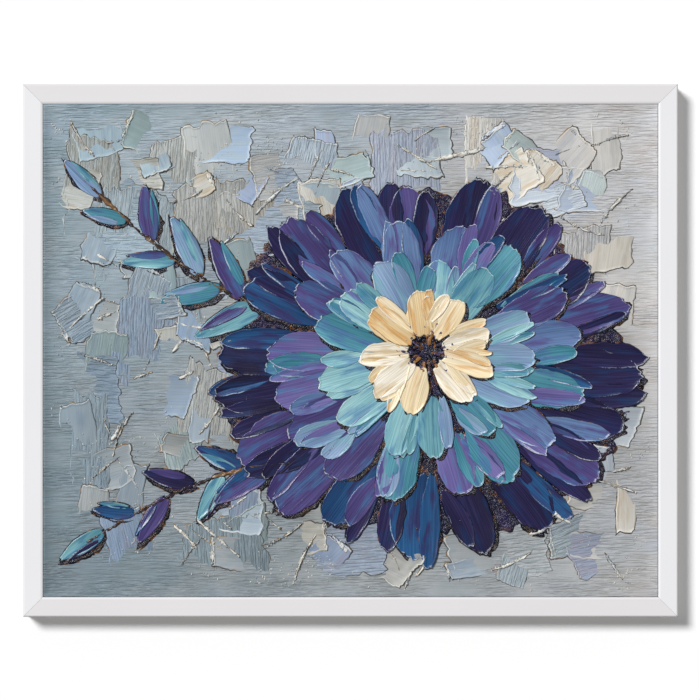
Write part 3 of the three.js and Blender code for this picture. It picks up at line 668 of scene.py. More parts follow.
# Length, width and rise are each a middle value and how far it scatters.
GOES = [
    {"name": "broad_passes", "seed": 2000, "count": 54, "length": (78, 34), "width": (54, 20),
     "rise": (0.55, 0.15), "own_tone": 0.35, "comb": 1.0, "rim": 0.5, "upright": 0.35, "swing": 0.12,
     "margin": -26, "step": 3.0},
    {"name": "pressed_planes", "seed": 2900, "count": 120, "length": (40, 18), "width": (31, 13),
     "rise": (1.0, 0.3), "own_tone": 0.5, "comb": 0.0, "rim": 0.9, "upright": 0.0, "swing": 0.3,
     "margin": -12, "step": 2.6},
    {"name": "lifted_scoops", "seed": 6000, "count": 70, "length": (34, 15), "width": (30, 12),
     "rise": (2.1, 0.7), "own_tone": 0.6, "comb": 0.0, "rim": 1.25, "upright": 0.0, "swing": 1.2,
     "margin": 2, "step": 1.6},
]
PATCH_FROM_EDGE_MM = 5
TEAR_BACK_MM = 2
TEAR_WIDTH_MM = (3.4, 1)
TEAR_RISE_MM = 3.0


def about(middle, spread, seed):
    """A value that scatters about a middle one."""
    return middle + spread * scatter(seed)


ridges = Slabs(below=True)
for go in GOES:
    slabs = Slabs(below=True)
    for i in range(go["count"]):
        seed = go["seed"] + 17 * i
        length, width, rise = (about(*go[key], seed + slot)
                               for key, slot in (("length", 2), ("width", 3), ("rise", 6)))
        if go["upright"]:
            quarter = int(scatter(seed + 4) > go["upright"] - 0.5)
        else:
            quarter = int(2 + 2 * scatter(seed + 4))
        angle = quarter * math.pi / 2 + go["swing"] * scatter(seed + 5)
        half_run = 0.5 * (abs(length * math.cos(angle)) + abs(width * math.sin(angle)))
        half_rise = 0.5 * (abs(length * math.sin(angle)) + abs(width * math.cos(angle)))
        middle = ((HALF_WIDTH_MM - PATCH_FROM_EDGE_MM - half_run) * scatter(seed),
                  (HALF_HEIGHT_MM - PATCH_FROM_EDGE_MM - half_rise) * scatter(seed + 1))
        if not open_ground(*middle, go["margin"]):
            continue
        root = aside(middle, angle, -length / 2)
        own = go["own_tone"]
        # Each patch takes the painted light of its place, times a tone of its own that scatters by 14
        # percent.
        light = daylight(*middle) * about(1, 0.14, seed + 12)
        base = (1 - own) * greige(*middle)
        tones = [(own * tone + base) * light for tone in PATCH_TONES[i % len(PATCH_TONES)]]
        knife_stroke(slabs, root, angle, length, width, rise, tones, seed, shape="patch", step=go["step"],
                     tilt=scatter(seed + 7), rim=go["rim"], ragged=2.2,
                     comb=go["comb"] or max(0, 1.6 * scatter(seed + 8) - 0.5),
                     bend=0.3 * go["swing"] * scatter(seed + 9), slant=0.4 * scatter(seed + 11))
        if go["name"] == "lifted_scoops":
            # The blade tears the far edge up as it leaves.
            torn = width * about(0.75, 0.2, seed + 20)
            foot = aside(root, angle, length - TEAR_BACK_MM, -torn / 2)
            knife_stroke(ridges, foot, angle + math.pi / 2, torn, about(*TEAR_WIDTH_MM, seed + 21),
                         TEAR_RISE_MM, tones, seed + 0.5, shape="ridge", step=0.8,
                         bend=0.5 * scatter(seed + 22), ragged=3.0)
    slabs.lay(go["name"], ground_paint, "paint_ground")

# Torn ridges
# Thin ragged crests where a loaded blade was pulled up off the ground. A few long dark seams were scratched
# through with the blade's edge.
SEAM_TONES = colours("#3b3a40 #6b6459 #a3937c")
RIDGE_TONES = [colours(codes) for codes in (
    "#a7acb0 #d8d6cf #c9c2b2", "#8b9298 #c9c6bf #a3b3c0",
    "#b9b4a8 #e0dccf #a98c62", "#9aa1a6 #cfccc4 #8a744f")]
RIDGE_COUNT = 180
SEAM_EVERY = 22
RIDGE_LENGTH_MM = (34, 20)
SEAM_LENGTH_MM = (76, 20)
RIDGE_WIDTH_MM = (2.6, 1.4)
RIDGE_RISE_MM = (2.1, 0.6)
RIDGE_OVERLAP_MM = 14
RIDGE_FROM_EDGE_MM = (34, 26)
for i in range(RIDGE_COUNT):
    seed = 5000 + 19 * i
    seam = i % SEAM_EVERY == 5
    angle = 0.4 * math.pi * scatter(seed + 2)
    middle = ((HALF_WIDTH_MM - RIDGE_FROM_EDGE_MM[0]) * scatter(seed),
              (HALF_HEIGHT_MM - RIDGE_FROM_EDGE_MM[1]) * scatter(seed + 1))
    length = about(*(SEAM_LENGTH_MM if seam else RIDGE_LENGTH_MM), seed + 3)
    if not open_ground(*middle, length / 2 - RIDGE_OVERLAP_MM):
        continue
    tones = SEAM_TONES if seam else RIDGE_TONES[i % len(RIDGE_TONES)]
    knife_stroke(ridges, aside(middle, angle, -length / 2), angle, length, about(*RIDGE_WIDTH_MM, seed + 4),
                 about(*RIDGE_RISE_MM, seed + 5), tones, seed, shape="ridge", step=1.1,
                 bend=0.6 * scatter(seed + 6), ragged=3.0)
ridge_piece = ridges.lay("torn_ridges", ground_paint, "paint_ground")

# Paint crumbs
# Crumbs that broke off the blade and dried where they fell, thickest on the worked parts of the ground.
CRUMB_RADIUS_MM = 1.15
CRUMB_SCALES = {0: (0.3, 0.25, 0.2), 1: (1.5, 0.9, 0.7)}
CRUMB_TURNS = {0: (0, 0, 0), 1: (6.28, 6.28, 6.28)}
GROUND_CRUMBS_PER_M2 = 60000.0
RIDGE_CRUMBS_PER_M2 = 150000.0
CRUMB_SEED = 5
crumb_paint, add = new_material("dried_paint_crumbs")
spot = add("TexCoord").outputs["Object"]
tint = add("TexNoise", {"Vector": spot, "Scale": 90.0, "Detail": 2.0})
hue = add("Mix", {0: add("MapRange", (tint, 0.4, 0.6)), 6: colour("#8696a3"), 7: colour("#cfc9bd")},
          data_type="RGBA")
pits = add("Bump", {"Strength": 0.5, "Distance": 0.2 * MM,
                    "Height": add("TexNoise", {"Vector": spot, "Scale": 1500.0})})
body = add("BsdfPrincipled", {"Base Color": hue, "Roughness": 0.5, "IOR": 1.48, "Normal": pits})
add("OutputMaterial", (body,))


def node_group(name, sizes):
    """A geometry tree with a named input for each size, its input node, and the function that adds nodes."""
    tree = bpy.data.node_groups.new(name, "GeometryNodeTree")
    tree.interface.new_socket("Geometry", in_out="INPUT", socket_type="NodeSocketGeometry")
    tree.interface.new_socket("Geometry", in_out="OUTPUT", socket_type="NodeSocketGeometry")
    for size_name, kind in sizes.items():
        tree.interface.new_socket(size_name, in_out="INPUT", socket_type=f"NodeSocket{kind}")
    return tree, add_node(tree, "NodeGroupInput").outputs, functools.partial(add_node, tree)


def grow(piece, tree, values):
    """Runs a geometry tree on a piece with its inputs set, and turns the result into a plain mesh."""
    modifier = piece.modifiers.new("grow", "NODES")
    modifier.node_group = tree
    for item in tree.interface.items_tree:
        if item.in_out == "INPUT" and item.name in values:
            modifier[item.identifier] = values[item.name]
    graph = bpy.context.evaluated_depsgraph_get()
    finished = bpy.data.meshes.new_from_object(piece.evaluated_get(graph), preserve_all_data_layers=True,
                                               depsgraph=graph)
    piece.modifiers.remove(modifier)
    piece.data = finished


crumb_tree, given, add = node_group("scatter_crumbs", {"Radius": "Float", "Density": "Float", "Seed": "Int",
                                                       "Paint": "Material"})
thick = add("GeometryNodeInputNamedAttribute", {"Name": "loose"}, data_type="FLOAT")
density = add("Math", (thick, given["Density"]), operation="MULTIPLY")
spots = add("GeometryNodeDistributePointsOnFaces",
            {"Mesh": given["Geometry"], "Density": density, "Seed": given["Seed"]})
crumb = add("GeometryNodeMeshIcoSphere", {"Radius": given["Radius"], "Subdivisions": 1})
size = add("FunctionNodeRandomValue", {**CRUMB_SCALES, "Seed": 1}, data_type="FLOAT_VECTOR")
spin = add("FunctionNodeRandomValue", {**CRUMB_TURNS, "Seed": given["Seed"]}, data_type="FLOAT_VECTOR")
strewn = add("GeometryNodeInstanceOnPoints",
             {"Points": spots, "Instance": crumb, "Rotation": spin, "Scale": size})
real = add("GeometryNodeRealizeInstances", (add("GeometryNodeSetShadeSmooth", (strewn,)),))
add("NodeGroupOutput", (add("GeometryNodeSetMaterial", {0: real, "Material": given["Paint"]}),))
for name, host, crumbs_per_m2 in (("ground_crumbs", ground_piece, GROUND_CRUMBS_PER_M2),
                                  ("ridge_crumbs", ridge_piece, RIDGE_CRUMBS_PER_M2)):
    crumbs = bpy.data.objects.new(name, host.data.copy())
    bpy.context.collection.objects.link(crumbs)
    grow(crumbs, crumb_tree, {"Radius": CRUMB_RADIUS_MM * MM, "Density": crumbs_per_m2, "Seed": CRUMB_SEED,
                              "Paint": crumb_paint})
    fix(crumbs, "paint_ground")

# Underpaint of the bloom
# Navy and violet paint, scrubbed on dry before the petals, so that it is gritty and broken, with bare flecks
# and an ochre stain along its ragged border.
UNDER_SPOKES = 640
UNDER_RINGS = np.concatenate([np.linspace(0.02, 0.62, 14), np.linspace(0.64, 1.0, 42)])
UNDER_REACH_MM = BLOOM_REACH_MM * 0.93
UNDER_ARC_MM = 120
NAVY, INK, PLUM, OCHRE = colours("#121230 #0a0912 #281f4e #8a5c2e")
# Near-black and ochre-brown paint the shade at the feet and the dark grit flecks; blue-grey paints the rim
# highlight and the pale flecks.
under_paint = oil_paint("gritty_underpaint", "#08070e", "#84552a", "#8f97b8", 0.4, grit=True)
around = np.linspace(0, 2 * math.pi, UNDER_SPOKES, endpoint=False)[None, :]
share = UNDER_RINGS[:, None]
ring_x, ring_z = np.cos(around) * 6, np.sin(around) * 6
border = 1 + sum(strength * ripple(ring_x * fine, ring_z * fine, seed) for strength, fine, seed in (
    (0.09, 1 / 2.2, 71), (0.06, 1, 72), (0.035, 3.1, 73), (0.012, 9, 74)))
reach = UNDER_REACH_MM * border * share
x = BLOOM_CENTRE_MM[0] + reach * np.cos(around)
z = BLOOM_CENTRE_MM[1] + reach * BLOOM_SQUASH * np.sin(around)
edge_mm = (1 - share) * BLOOM_REACH_MM
grit_height = 0.75 + 0.8 * (1 - np.abs(ripple(x / 3.4, z / 3.4, 75))) ** 3 + 0.5 * rough(x / 9, z / 9, 76)
grit_height = grit_height * np.clip(1.15 - edge_mm / 40, 0.5, 1)
fall = np.clip(edge_mm / 1.8, 0, 1)
plum_share = zone(x, z, 24, 24, 77, 0.5, 1.1)[..., None]
stain_share = (np.clip(1 - edge_mm / 7, 0, 1) * zone(x, z, 17, 17, 78, 0.2, 1.4))[..., None]
tone_low = (NAVY * (1 - plum_share) + PLUM * plum_share) * (1 - stain_share) + OCHRE * stain_share
under = Slabs()
under.add_disc(x, z, (np.maximum(grit_height, 0.2) + BURIED_MM) * fall ** 0.7 - BURIED_MM, tone_a=tone_low,
               tone_b=INK * 0.7 + tone_low * 0.3, tone_c=NAVY,
               blade=np.stack(np.broadcast_arrays(reach, around * UNDER_ARC_MM, 11), -1),
               blend=zone(x, z, 6, 6, 79, 0.5, 1.1), crest=0, foot=1 - fall, comb=0)
under.lay("bloom_underpaint", under_paint, "paint_dark")

# Bloom
# Rings of petal strokes round a dark heart, seen a little from below, each laid over the next one out. A
# petal is one broad stroke over a dark underpaint bed, shifted down and right so that it shows there as a
# painted shadow, and one or two narrower strokes in a neighbouring tone.
# Near-black and brown paint the shade at the feet; near-white paints the rim highlight.
petal_paint = oil_paint("petal_oil_paint", "#0b0a12", "#7f5630", "#e6eef6", 0.62)
VIOLET, INDIGO, LILAC, SLATE, MIST_BLUE, DEEP, TEAL, SEA, AQUA, SAND, CREAM, IVORY = (
    colours(codes) for codes in (
        "#362d60 #544a82 #3f6090", "#13102e #272150 #152a54", "#544b88 #766fa6 #4f76a4",
        "#4c6a98 #6c86b0 #584e88", "#6380a6 #8ea7c6 #78a4b6", "#123560 #265a8a #2f2858",
        "#2f7488 #5c9aaa #4a709c", "#4c8898 #80b2ba #407898", "#6fa8b6 #a0cacc #5f8eb0",
        "#dcbd88 #ecd6ae #d0a062", "#e6cfa0 #f4e6ca #dcb076", "#ece0c8 #f9f4e8 #d6c098"))
RINGS = [
    {"name": "petals_outer", "slot": "paint_violet", "count": 19, "root": 94, "tip": 172, "width": 50,
     "rise": 2.3, "thinning": 0.42, "lift": 0,
     "tones": [INDIGO, VIOLET, DEEP, INDIGO, SLATE, VIOLET, INDIGO, INDIGO]},
    {"name": "petals_second", "slot": "paint_blue", "count": 16, "root": 62, "tip": 130, "width": 44,
     "rise": 2.8, "thinning": 0.38, "lift": 4,
     "tones": [SLATE, LILAC, VIOLET, MIST_BLUE, TEAL, SLATE, LILAC, DEEP]},
    {"name": "petals_third", "slot": "paint_aqua", "count": 13, "root": 34, "tip": 92, "width": 37,
     "rise": 3.2, "thinning": 0.34, "lift": 9, "tones": [AQUA, SEA, MIST_BLUE, AQUA, TEAL, SEA, AQUA]},
    {"name": "petals_inner", "slot": "paint_cream", "count": 9, "root": 13, "tip": 58, "width": 30,
     "rise": 3.5, "thinning": 0.2, "lift": 13, "tones": [CREAM, IVORY, SAND, CREAM, IVORY]},
]
PETAL_FULLNESS = 0.78
# Painted shadow: the beds are near-black and shifted down and to the right of their strokes.
SHADOW_BED_TONES = colours("#0a0910 #17142c #33261c")
SHADOW_BED_SLIP_MM = (1.4, -2.1)
STROKE_TOP_MM = 3.7


def bloom_point(radius, angle, lift):
    """A point of the bloom, which is squashed because it is seen from below."""
    return (BLOOM_CENTRE_MM[0] + radius * math.cos(angle),
            BLOOM_CENTRE_MM[1] + lift + radius * BLOOM_SQUASH * math.sin(angle))


def shadow_bed_stroke(slabs, root, *stroke, **settings):
    """A dark underpaint stroke, shifted below and right of the one laid over it so that it shows as a painted
    shadow.
    """
    knife_stroke(slabs, (root[0] + SHADOW_BED_SLIP_MM[0], root[1] + SHADOW_BED_SLIP_MM[1]), *stroke, **settings)


for index, ring in enumerate(RINGS):
    slabs, shadow_beds = Slabs(), Slabs()
    tones, lift = ring["tones"], ring["thinning"]
    for i in range(ring["count"]):
        seed = 100 * (index + 1) + i
        angle = 2 * math.pi * (i + 0.5 * (index % 2) + 0.16 * scatter(seed)) / ring["count"]
        root = bloom_point(ring["root"], angle, ring["lift"])
        tip = bloom_point(ring["tip"] * about(1, 0.05, seed + 31), angle, ring["lift"])
        heading = about(math.atan2(tip[1] - root[1], tip[0] - root[0]), 0.12, seed + 57)
        width = ring["width"] * about(1, 0.12, seed + 83) * PETAL_FULLNESS
        rise = ring["rise"] * about(1, 0.10, seed + 91)
        length = math.dist(root, tip)
        path = {"bend": 0.25 * scatter(seed + 17), "slant": 0.5 * scatter(seed + 23), "lift": lift}
        tone = tones[(i * 5 + int(3 * scatter(seed + 7) + 3)) % len(tones)]
        knife_stroke(slabs, root, heading, length, width, rise, tone, seed, tilt=0.8 * scatter(seed + 13),
                     ragged=1.2, bare_from=0.4, **path)
        shadow_bed_stroke(shadow_beds, root, heading, length * 1.005, width * 1.05, rise * 0.72, SHADOW_BED_TONES, seed + 0.25,
                   step=2.8, rim=0.2, ragged=2.4, **path)
        for extra in range(2 if scatter(seed + 61) > -0.2 else 1):
            seed = 100 * (index + 1) + i + 37 * (extra + 1) + 0.5
            side = (1 if scatter(seed) > 0 else -1) * (1 if extra == 0 else -1)
            start = 0.02 + 0.30 * abs(scatter(seed + 3))
            spot = aside(root, heading, start * length, side * width * about(0.36, 0.08, seed + 9))
            tone = tones[(i * 3 + extra + int(4 * scatter(seed + 19) + 4)) % len(tones)]
            reach = length * (0.98 - start + 0.12 * scatter(seed + 11))
            knife_stroke(slabs, spot, about(heading, 0.14, seed + 15) + 0.02 * side, reach,
                         width * about(0.50, 0.12, seed + 5),
                         min(rise * 1.12 + 0.15 * extra, STROKE_TOP_MM), tone, seed, step=2.0,
                         tilt=0.6 * scatter(seed + 27), bend=0.3 * scatter(seed + 21), ragged=1.4,
                         slant=0.6 * scatter(seed + 29), lift=lift, bare_from=0.35)
    slabs.lay(f"{ring['name']}_strokes", petal_paint, ring["slot"], ring["name"])
    shadow_beds.lay(f"{ring['name']}_beds", under_paint, "paint_dark")

# Heart
# Short dabs of near-black, navy and ochre, set in a close spiral so that they stand up as a rough dome.
HEART_DABS = 52
HEART_RADIUS_MM = 16.15
HEART_LIFT_MM = 14
DAB_LENGTH_MM = (9, 4)
DAB_WIDTH_MM = 4.6
GOLDEN_TURN = math.pi * (3 - math.sqrt(5))
HEART_TONES = [colours(codes) for codes in (
    "#14121f #2a2448 #24306a", "#221a3a #4a3a6a #14121f",
    "#0f0d18 #1f1a30 #2a2448", "#6a4426 #b98446 #221a3a")]
# Near-black and ochre paint the shade at the feet and the dark grit flecks; pale lilac-grey paints the rim
# highlight and the pale flecks.
heart_paint = oil_paint("heart_oil_paint", "#0b0912", "#8f6236", "#b9bfd6", 0.4, grit=True)
heart = Slabs()
for i in range(HEART_DABS, 0, -1):
    seed = 4000 + i
    out = math.sqrt(i / HEART_DABS)
    angle = i * GOLDEN_TURN
    knife_stroke(heart, bloom_point(HEART_RADIUS_MM * out, angle, HEART_LIFT_MM), about(angle, 0.6, seed),
                 about(*DAB_LENGTH_MM, seed + 1), DAB_WIDTH_MM, STROKE_TOP_MM - 0.9 * out,
                 HEART_TONES[i % len(HEART_TONES)], seed, step=1.0, ragged=1.8, rim=0.7)
heart.lay("bloom_heart_dabs", heart_paint, "paint_dark", "bloom_heart")

# Leaf sprays
# A curved stem, drawn with the knife's edge, and leaf strokes on alternate sides, each over a dark
# underpaint bed shifted down and right so that it shows there as a painted shadow.
SPRAYS = [
    {"name": "leaf_spray_upper", "seed": 700, "leaves": 8, "length": 62, "width": 25,
     "tones": [SEA, VIOLET, TEAL, MIST_BLUE]},
    {"name": "leaf_spray_lower", "seed": 800, "leaves": 7, "length": 58, "width": 24,
     "tones": [VIOLET, DEEP, SEA, INDIGO]},
]
STEM_TONES = colours("#1d1a2e #4b3a2c #8f6a42")
LEAF_SPREAD = 0.62
LEAF_RISE_MM = 2.2
LEAF_SHADOW_BED_RISE_MM = 1.1
LEAF_ROOT_MM = -3
STEM_WIDTH_MM = 4
STEM_RISE_MM = 2.3
STEM_STEPS = 5
STEM_OVERLAP = 1.35
for spray, stem in zip(SPRAYS, SPRAY_LINES_MM):
    slabs, shadow_beds = Slabs(), Slabs()
    tones = spray["tones"]
    for i in range(spray["leaves"]):
        t = (i + 1) / spray["leaves"]
        seed = spray["seed"] + i
        spot, heading = curve_point(stem, t)
        root = aside(spot, heading, LEAF_ROOT_MM)
        if i < spray["leaves"] - 1:
            heading += (1 if i % 2 == 0 else -1) * about(LEAF_SPREAD, 0.15, seed)
        size = 1 - 0.3 * t + 0.1 * scatter(seed + 20)
        length, width = spray["length"] * size, spray["width"] * size
        shadow_bed_stroke(shadow_beds, root, heading, length * 1.02, width * 1.02, LEAF_SHADOW_BED_RISE_MM, SHADOW_BED_TONES, seed + 300,
                   shape="leaf", step=1.6, ragged=2.6, rim=0.3)
        knife_stroke(slabs, root, heading, length * 0.97, width * 0.88, LEAF_RISE_MM, tones[i % len(tones)],
                     seed, shape="leaf", bend=0.3 * scatter(seed + 40), tilt=0.7 * scatter(seed + 50),
                     bare_from=0.2)
        heading = about(heading, 0.06, seed + 44)
        spot = aside(root, heading, 0.14 * length, 0.24 * width * (1 if scatter(seed + 45) > 0 else -1))
        knife_stroke(slabs, spot, heading, length * 0.74, width * 0.46, LEAF_RISE_MM * 1.15,
                     tones[(i + 1) % len(tones)], seed + 60, shape="leaf", step=1.8,
                     tilt=0.6 * scatter(seed + 70), bare_from=0.3)
    for i in range(STEM_STEPS):
        spot, _ = curve_point(stem, i / STEM_STEPS)
        ahead, _ = curve_point(stem, (i + 1) / STEM_STEPS)
        knife_stroke(slabs, spot, math.atan2(ahead[1] - spot[1], ahead[0] - spot[0]),
                     STEM_OVERLAP * math.dist(spot, ahead), STEM_WIDTH_MM, STEM_RISE_MM, STEM_TONES,
                     spray["seed"] + 60 + i, shape="ridge", step=0.9, ragged=1.6, rim=0.2)
    slabs.lay(f"{spray['name']}_strokes", petal_paint, "paint_teal", spray["name"])
    shadow_beds.lay(f"{spray['name']}_beds", under_paint, "paint_dark")

# Canvas
# Primed cotton duck, drawn tight over the bars, turned round their edges and folded onto their backs, with
# its raw edge left showing. The spare cloth at each corner is folded flat under a flap.
CLOTH_MM = 0.6
FOLD_MM = 22
CORNER_MM = 1.4
TIGHT_CORNER_MM = 0.15
SIDE_STEPS = (44, 36)
CORNER_STEPS = 5
RAW_WAVER_MM = 0.5
RAW_WAVER_CELL_MM = 9
CORNER_ZONE_MM = 24
THREAD_MM = 1.3
canvas_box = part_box("canvas")
canvas_front, canvas_back = canvas_box[0][1] / MM, canvas_box[1][1] / MM
HALF_CANVAS_MM = np.array([canvas_box[1][0] / MM, canvas_box[1][2] / MM])
depth = canvas_back - canvas_front

# Plain weave, 1.3 mm between threads: cotton duck's are 0.6 mm apart, too fine to show.
duck, add = new_material("cotton_duck")
cut = add("Attribute", attribute_name="flat_cloth").outputs["Vector"]
axes = add("SeparateXYZ", (cut,))
phases = [add("Math", (axes.outputs[axis], math.pi / THREAD_MM), operation="MULTIPLY") for axis in "XY"]
weave = add("Math", [add("Math", (phase,), operation="SINE") for phase in phases], operation="MULTIPLY")
slub_run = add("Mapping", {"Vector": cut, "Scale": (0.05, 0.9, 1)})
slub = add("TexNoise", {"Vector": slub_run, "Scale": 1.0, "Detail": 2.0})
aged = add("TexNoise", {"Vector": cut, "Scale": 0.02, "Detail": 3.0})
thread = add("Mix", {0: add("MapRange", (weave, -1.0, 1.0)), 6: colour("#bcae93"), 7: colour("#e2d8c2")},
             data_type="RGBA")
cloth = add("Mix", {0: add("MapRange", (slub, 0.45, 0.75, 0.0, 0.5)), 6: thread, 7: colour("#cdbf9f")},
            data_type="RGBA")
cloth = add("VectorMath", {0: cloth, "Scale": add("MapRange", (aged, 0.3, 0.7, 0.9, 1.06))},
            operation="SCALE")
bump = add("Bump", {"Strength": 0.7, "Distance": 0.3 * MM, "Height": weave})
body = add("BsdfPrincipled", {"Base Color": cloth, "Roughness": 0.9, "IOR": 1.5, "Sheen Weight": 0.15,
                              "Normal": bump})
add("OutputMaterial", (body,))


def cloth_loop(inset, flat_over):
    """A rounded rectangle of [x, z, flat x, flat z] rows, an inset from the canvas's edge."""
    radius = max(CORNER_MM - inset, TIGHT_CORNER_MM)

    def corner_row(corner, angle):
        sign, normal = np.array(CORNERS[corner % 4]), np.array([math.cos(angle), math.sin(angle)])
        return np.concatenate([sign * (HALF_CANVAS_MM - inset - radius) + radius * normal,
                               sign * HALF_CANVAS_MM + flat_over * normal])

    rows = []
    for corner in range(4):
        rows += [corner_row(corner, math.pi / 2 * (corner + k / CORNER_STEPS))
                 for k in range(CORNER_STEPS + 1)]
        start, end = rows[-1], corner_row(corner + 1, math.pi / 2 * (corner + 1))
        steps = SIDE_STEPS[corner % 2]
        rows += [start + (end - start) * k / steps for k in range(1, steps)]
    return np.array(rows)


# The sheet's section from the middle of the front to the raw edge: inset, depth and run past the edge.
SECTION_MM = [(inset, canvas_front, 0) for inset in (HALF_CANVAS_MM[1] * 0.97, 192, 135, 90, 45, 18)]
SECTION_MM += [(1.0, canvas_front + 0.02, 0), (0.3, canvas_front + 0.3, 0.3), (0.0, canvas_front + 1.0, 1.0),
               (0.0, canvas_front + depth / 2, depth / 2), (0.0, canvas_back - 1.0, depth - 1),
               (0.3, canvas_back - 0.3, depth)]
SECTION_MM += [(inset, canvas_back, depth + inset) for inset in (1.0, 4, 8, 12, 16, 19, FOLD_MM - 0.3)]
loops, flats = [], []
for thick, section in ((0, SECTION_MM), (CLOTH_MM, SECTION_MM[::-1])):
    for inset, y, over in section:
        on_front, on_back = over == 0, over > depth
        level = on_back or (on_front and inset > 1.0)
        loop = cloth_loop(inset if level else inset + thick, over)
        waver = (over > depth + FOLD_MM - 1) * RAW_WAVER_MM * ripple(loop[:, 2] / RAW_WAVER_CELL_MM,
                                                                     loop[:, 3] / RAW_WAVER_CELL_MM, 91)
        outwards = np.sign(loop[:, :2]) * (np.abs(loop[:, :2]) > HALF_CANVAS_MM - CORNER_ZONE_MM)
        spot = loop[:, :2] + waver[:, None] * outwards
        height = y + thick * (int(on_front) - int(on_back))
        loops.append(np.insert(spot, 1, height, axis=1))
        flats.append(np.insert(loop[:, 2:] if over else spot, 2, 0, axis=1))
canvas = closed_piece("canvas_cloth", [loops], [duck], flat_cloth=np.concatenate(flats))

FLAP_MM = [(0.8, 0.8), (34, 0.8), (30, 6), (21.5, 21.0), (19.5, 20.5)]
FLAP_THICK_MM = 0.55
flap_corners = [[(sign_x * (HALF_CANVAS_MM[0] - along), sign_z * (HALF_CANVAS_MM[1] - inward))
                 for along, inward in FLAP_MM] for sign_x, sign_z in CORNERS]
flap_forms = [[[(x, canvas_back + lift, z) for x, z in corner] for lift in (0.02, FLAP_THICK_MM)]
              for corner in flap_corners]
flaps = closed_piece("canvas_corner_flaps", flap_forms, [duck], smooth=False,
                     flat_cloth=[(z, x, 0) for corner in flap_corners for x, z in corner * 2])
soft_edge = flaps.modifiers.new("soft_edge", "BEVEL")
soft_edge.width = 0.2 * MM
soft_edge.segments = 2
fix(canvas, "canvas_cloth", "canvas")
fix(flaps, "canvas_cloth")

# Stretcher bars and corner keys
# Planed pine bars with a bead along the front, tongued together at the mitres, and beech wedges driven into
# the corner slots to tighten the canvas.


def bare_wood(name, run, pale, dark, ring_mm, gloss):
    """Planed wood: growth rings drawn out along the length, fine pores, and a dry matt surface."""
    material, add = new_material(name)
    spot = add("TexCoord").outputs["Object"]
    drawn = add("Mapping", {"Vector": spot, "Scale": grain_scale(run, 5, 1000 / ring_mm)})
    rings = add("TexNoise", {"Vector": drawn, "Scale": 1.0, "Detail": 4.0, "Distortion": 0.6})
    pores_run = add("Mapping", {"Vector": spot, "Scale": grain_scale(run, 60, 2200)})
    pores = add("TexNoise", {"Vector": pores_run, "Scale": 1.0, "Detail": 2.0})
    tone = add("Mix", {0: add("MapRange", (rings, 0.42, 0.62)), 6: colour(pale), 7: colour(dark)},
               data_type="RGBA")
    tone = add("VectorMath", {0: tone, "Scale": add("MapRange", (pores, 0.3, 0.7, 0.86, 1.06))},
               operation="SCALE")
    bump = add("Bump", {"Strength": 0.35, "Distance": 0.12 * MM, "Height": pores})
    sheen = add("MapRange", (rings, 0.3, 0.7, gloss, gloss + 0.14))
    body = add("BsdfPrincipled", {"Base Color": tone, "Roughness": sheen, "IOR": 1.5, "Normal": bump})
    add("OutputMaterial", (body,))
    return material


pine = {run: bare_wood(f"planed_pine_{run}", run, "#dfbf8e", "#bd9059", ring_mm=5, gloss=0.55)
        for run in ("level", "upright")}
beech = {run: bare_wood(f"sawn_beech_{run}", run, "#cfa476", "#a97a4c", ring_mm=2, gloss=0.6)
         for run in ("level", "upright")}
for name, run in RUNS.items():
    use_material(f"stretcher_bar_{name}", pine[run])
    for which in "ab":
        use_material(f"corner_key_{name}_{which}", beech["upright" if run == "level" else "level"])

# Fasteners
# Wire staples hold the cloth to the backs of the bars. Zinc-plated clips lie across the joint between frame
# and stretcher, each with a pan-head screw, and a brass-plated sawtooth hanger is nailed to the top rail.
CLIP_OFFSET_MM = 150
# Each clip's name, its side (0 top, 1 right, 2 bottom, 3 left), and its offset along that side.
CLIP_PLACES = [("top_a", 0, -CLIP_OFFSET_MM), ("top_b", 0, CLIP_OFFSET_MM), ("right", 1, 0),
               ("bottom_a", 2, -CLIP_OFFSET_MM), ("bottom_b", 2, CLIP_OFFSET_MM), ("left", 3, 0)]


def pressed_metal(name, tone, dark, gloss):
    """Plated steel strip: bright, with fine rolling marks and dull handling marks."""
    material, add = new_material(name)
    spot = add("TexCoord").outputs["Object"]
    rolled = add("Mapping", {"Vector": spot, "Scale": (260, 2600, 2600)})
    marks = add("TexNoise", {"Vector": rolled, "Scale": 1.0})
    dull = add("TexNoise", {"Vector": spot, "Scale": 180.0, "Detail": 3.0})
    tint = add("Mix", {0: add("MapRange", (dull, 0.45, 0.7)), 6: colour(tone), 7: colour(dark)},
               data_type="RGBA")
    bump = add("Bump", {"Strength": 0.2, "Distance": 0.04 * MM, "Height": marks})
    sheen = add("MapRange", (dull, 0.35, 0.7, gloss, gloss + 0.2))
    body = add("BsdfPrincipled", {"Base Color": tint, "Metallic": 1.0, "Roughness": sheen, "Normal": bump})
    add("OutputMaterial", (body,))
    return material


def on_side(side_index, along, inward, half):
    """A point on one side of the back, in millimetres, from a distance along it and one in from its edge."""
    across = half[1] if side_index % 2 == 0 else half[0]
    return {0: (along, across - inward), 1: (across - inward, -along),
            2: (-along, inward - across), 3: (inward - across, along)}[side_index]


def lathe(profile, sides):
    """Loops of a round form from [radius, height] pairs, height along Y."""
    turns = [2 * math.pi * k / sides for k in range(sides)]
    return [[(radius * math.cos(turn), height, radius * math.sin(turn)) for turn in turns]
            for radius, height in profile]


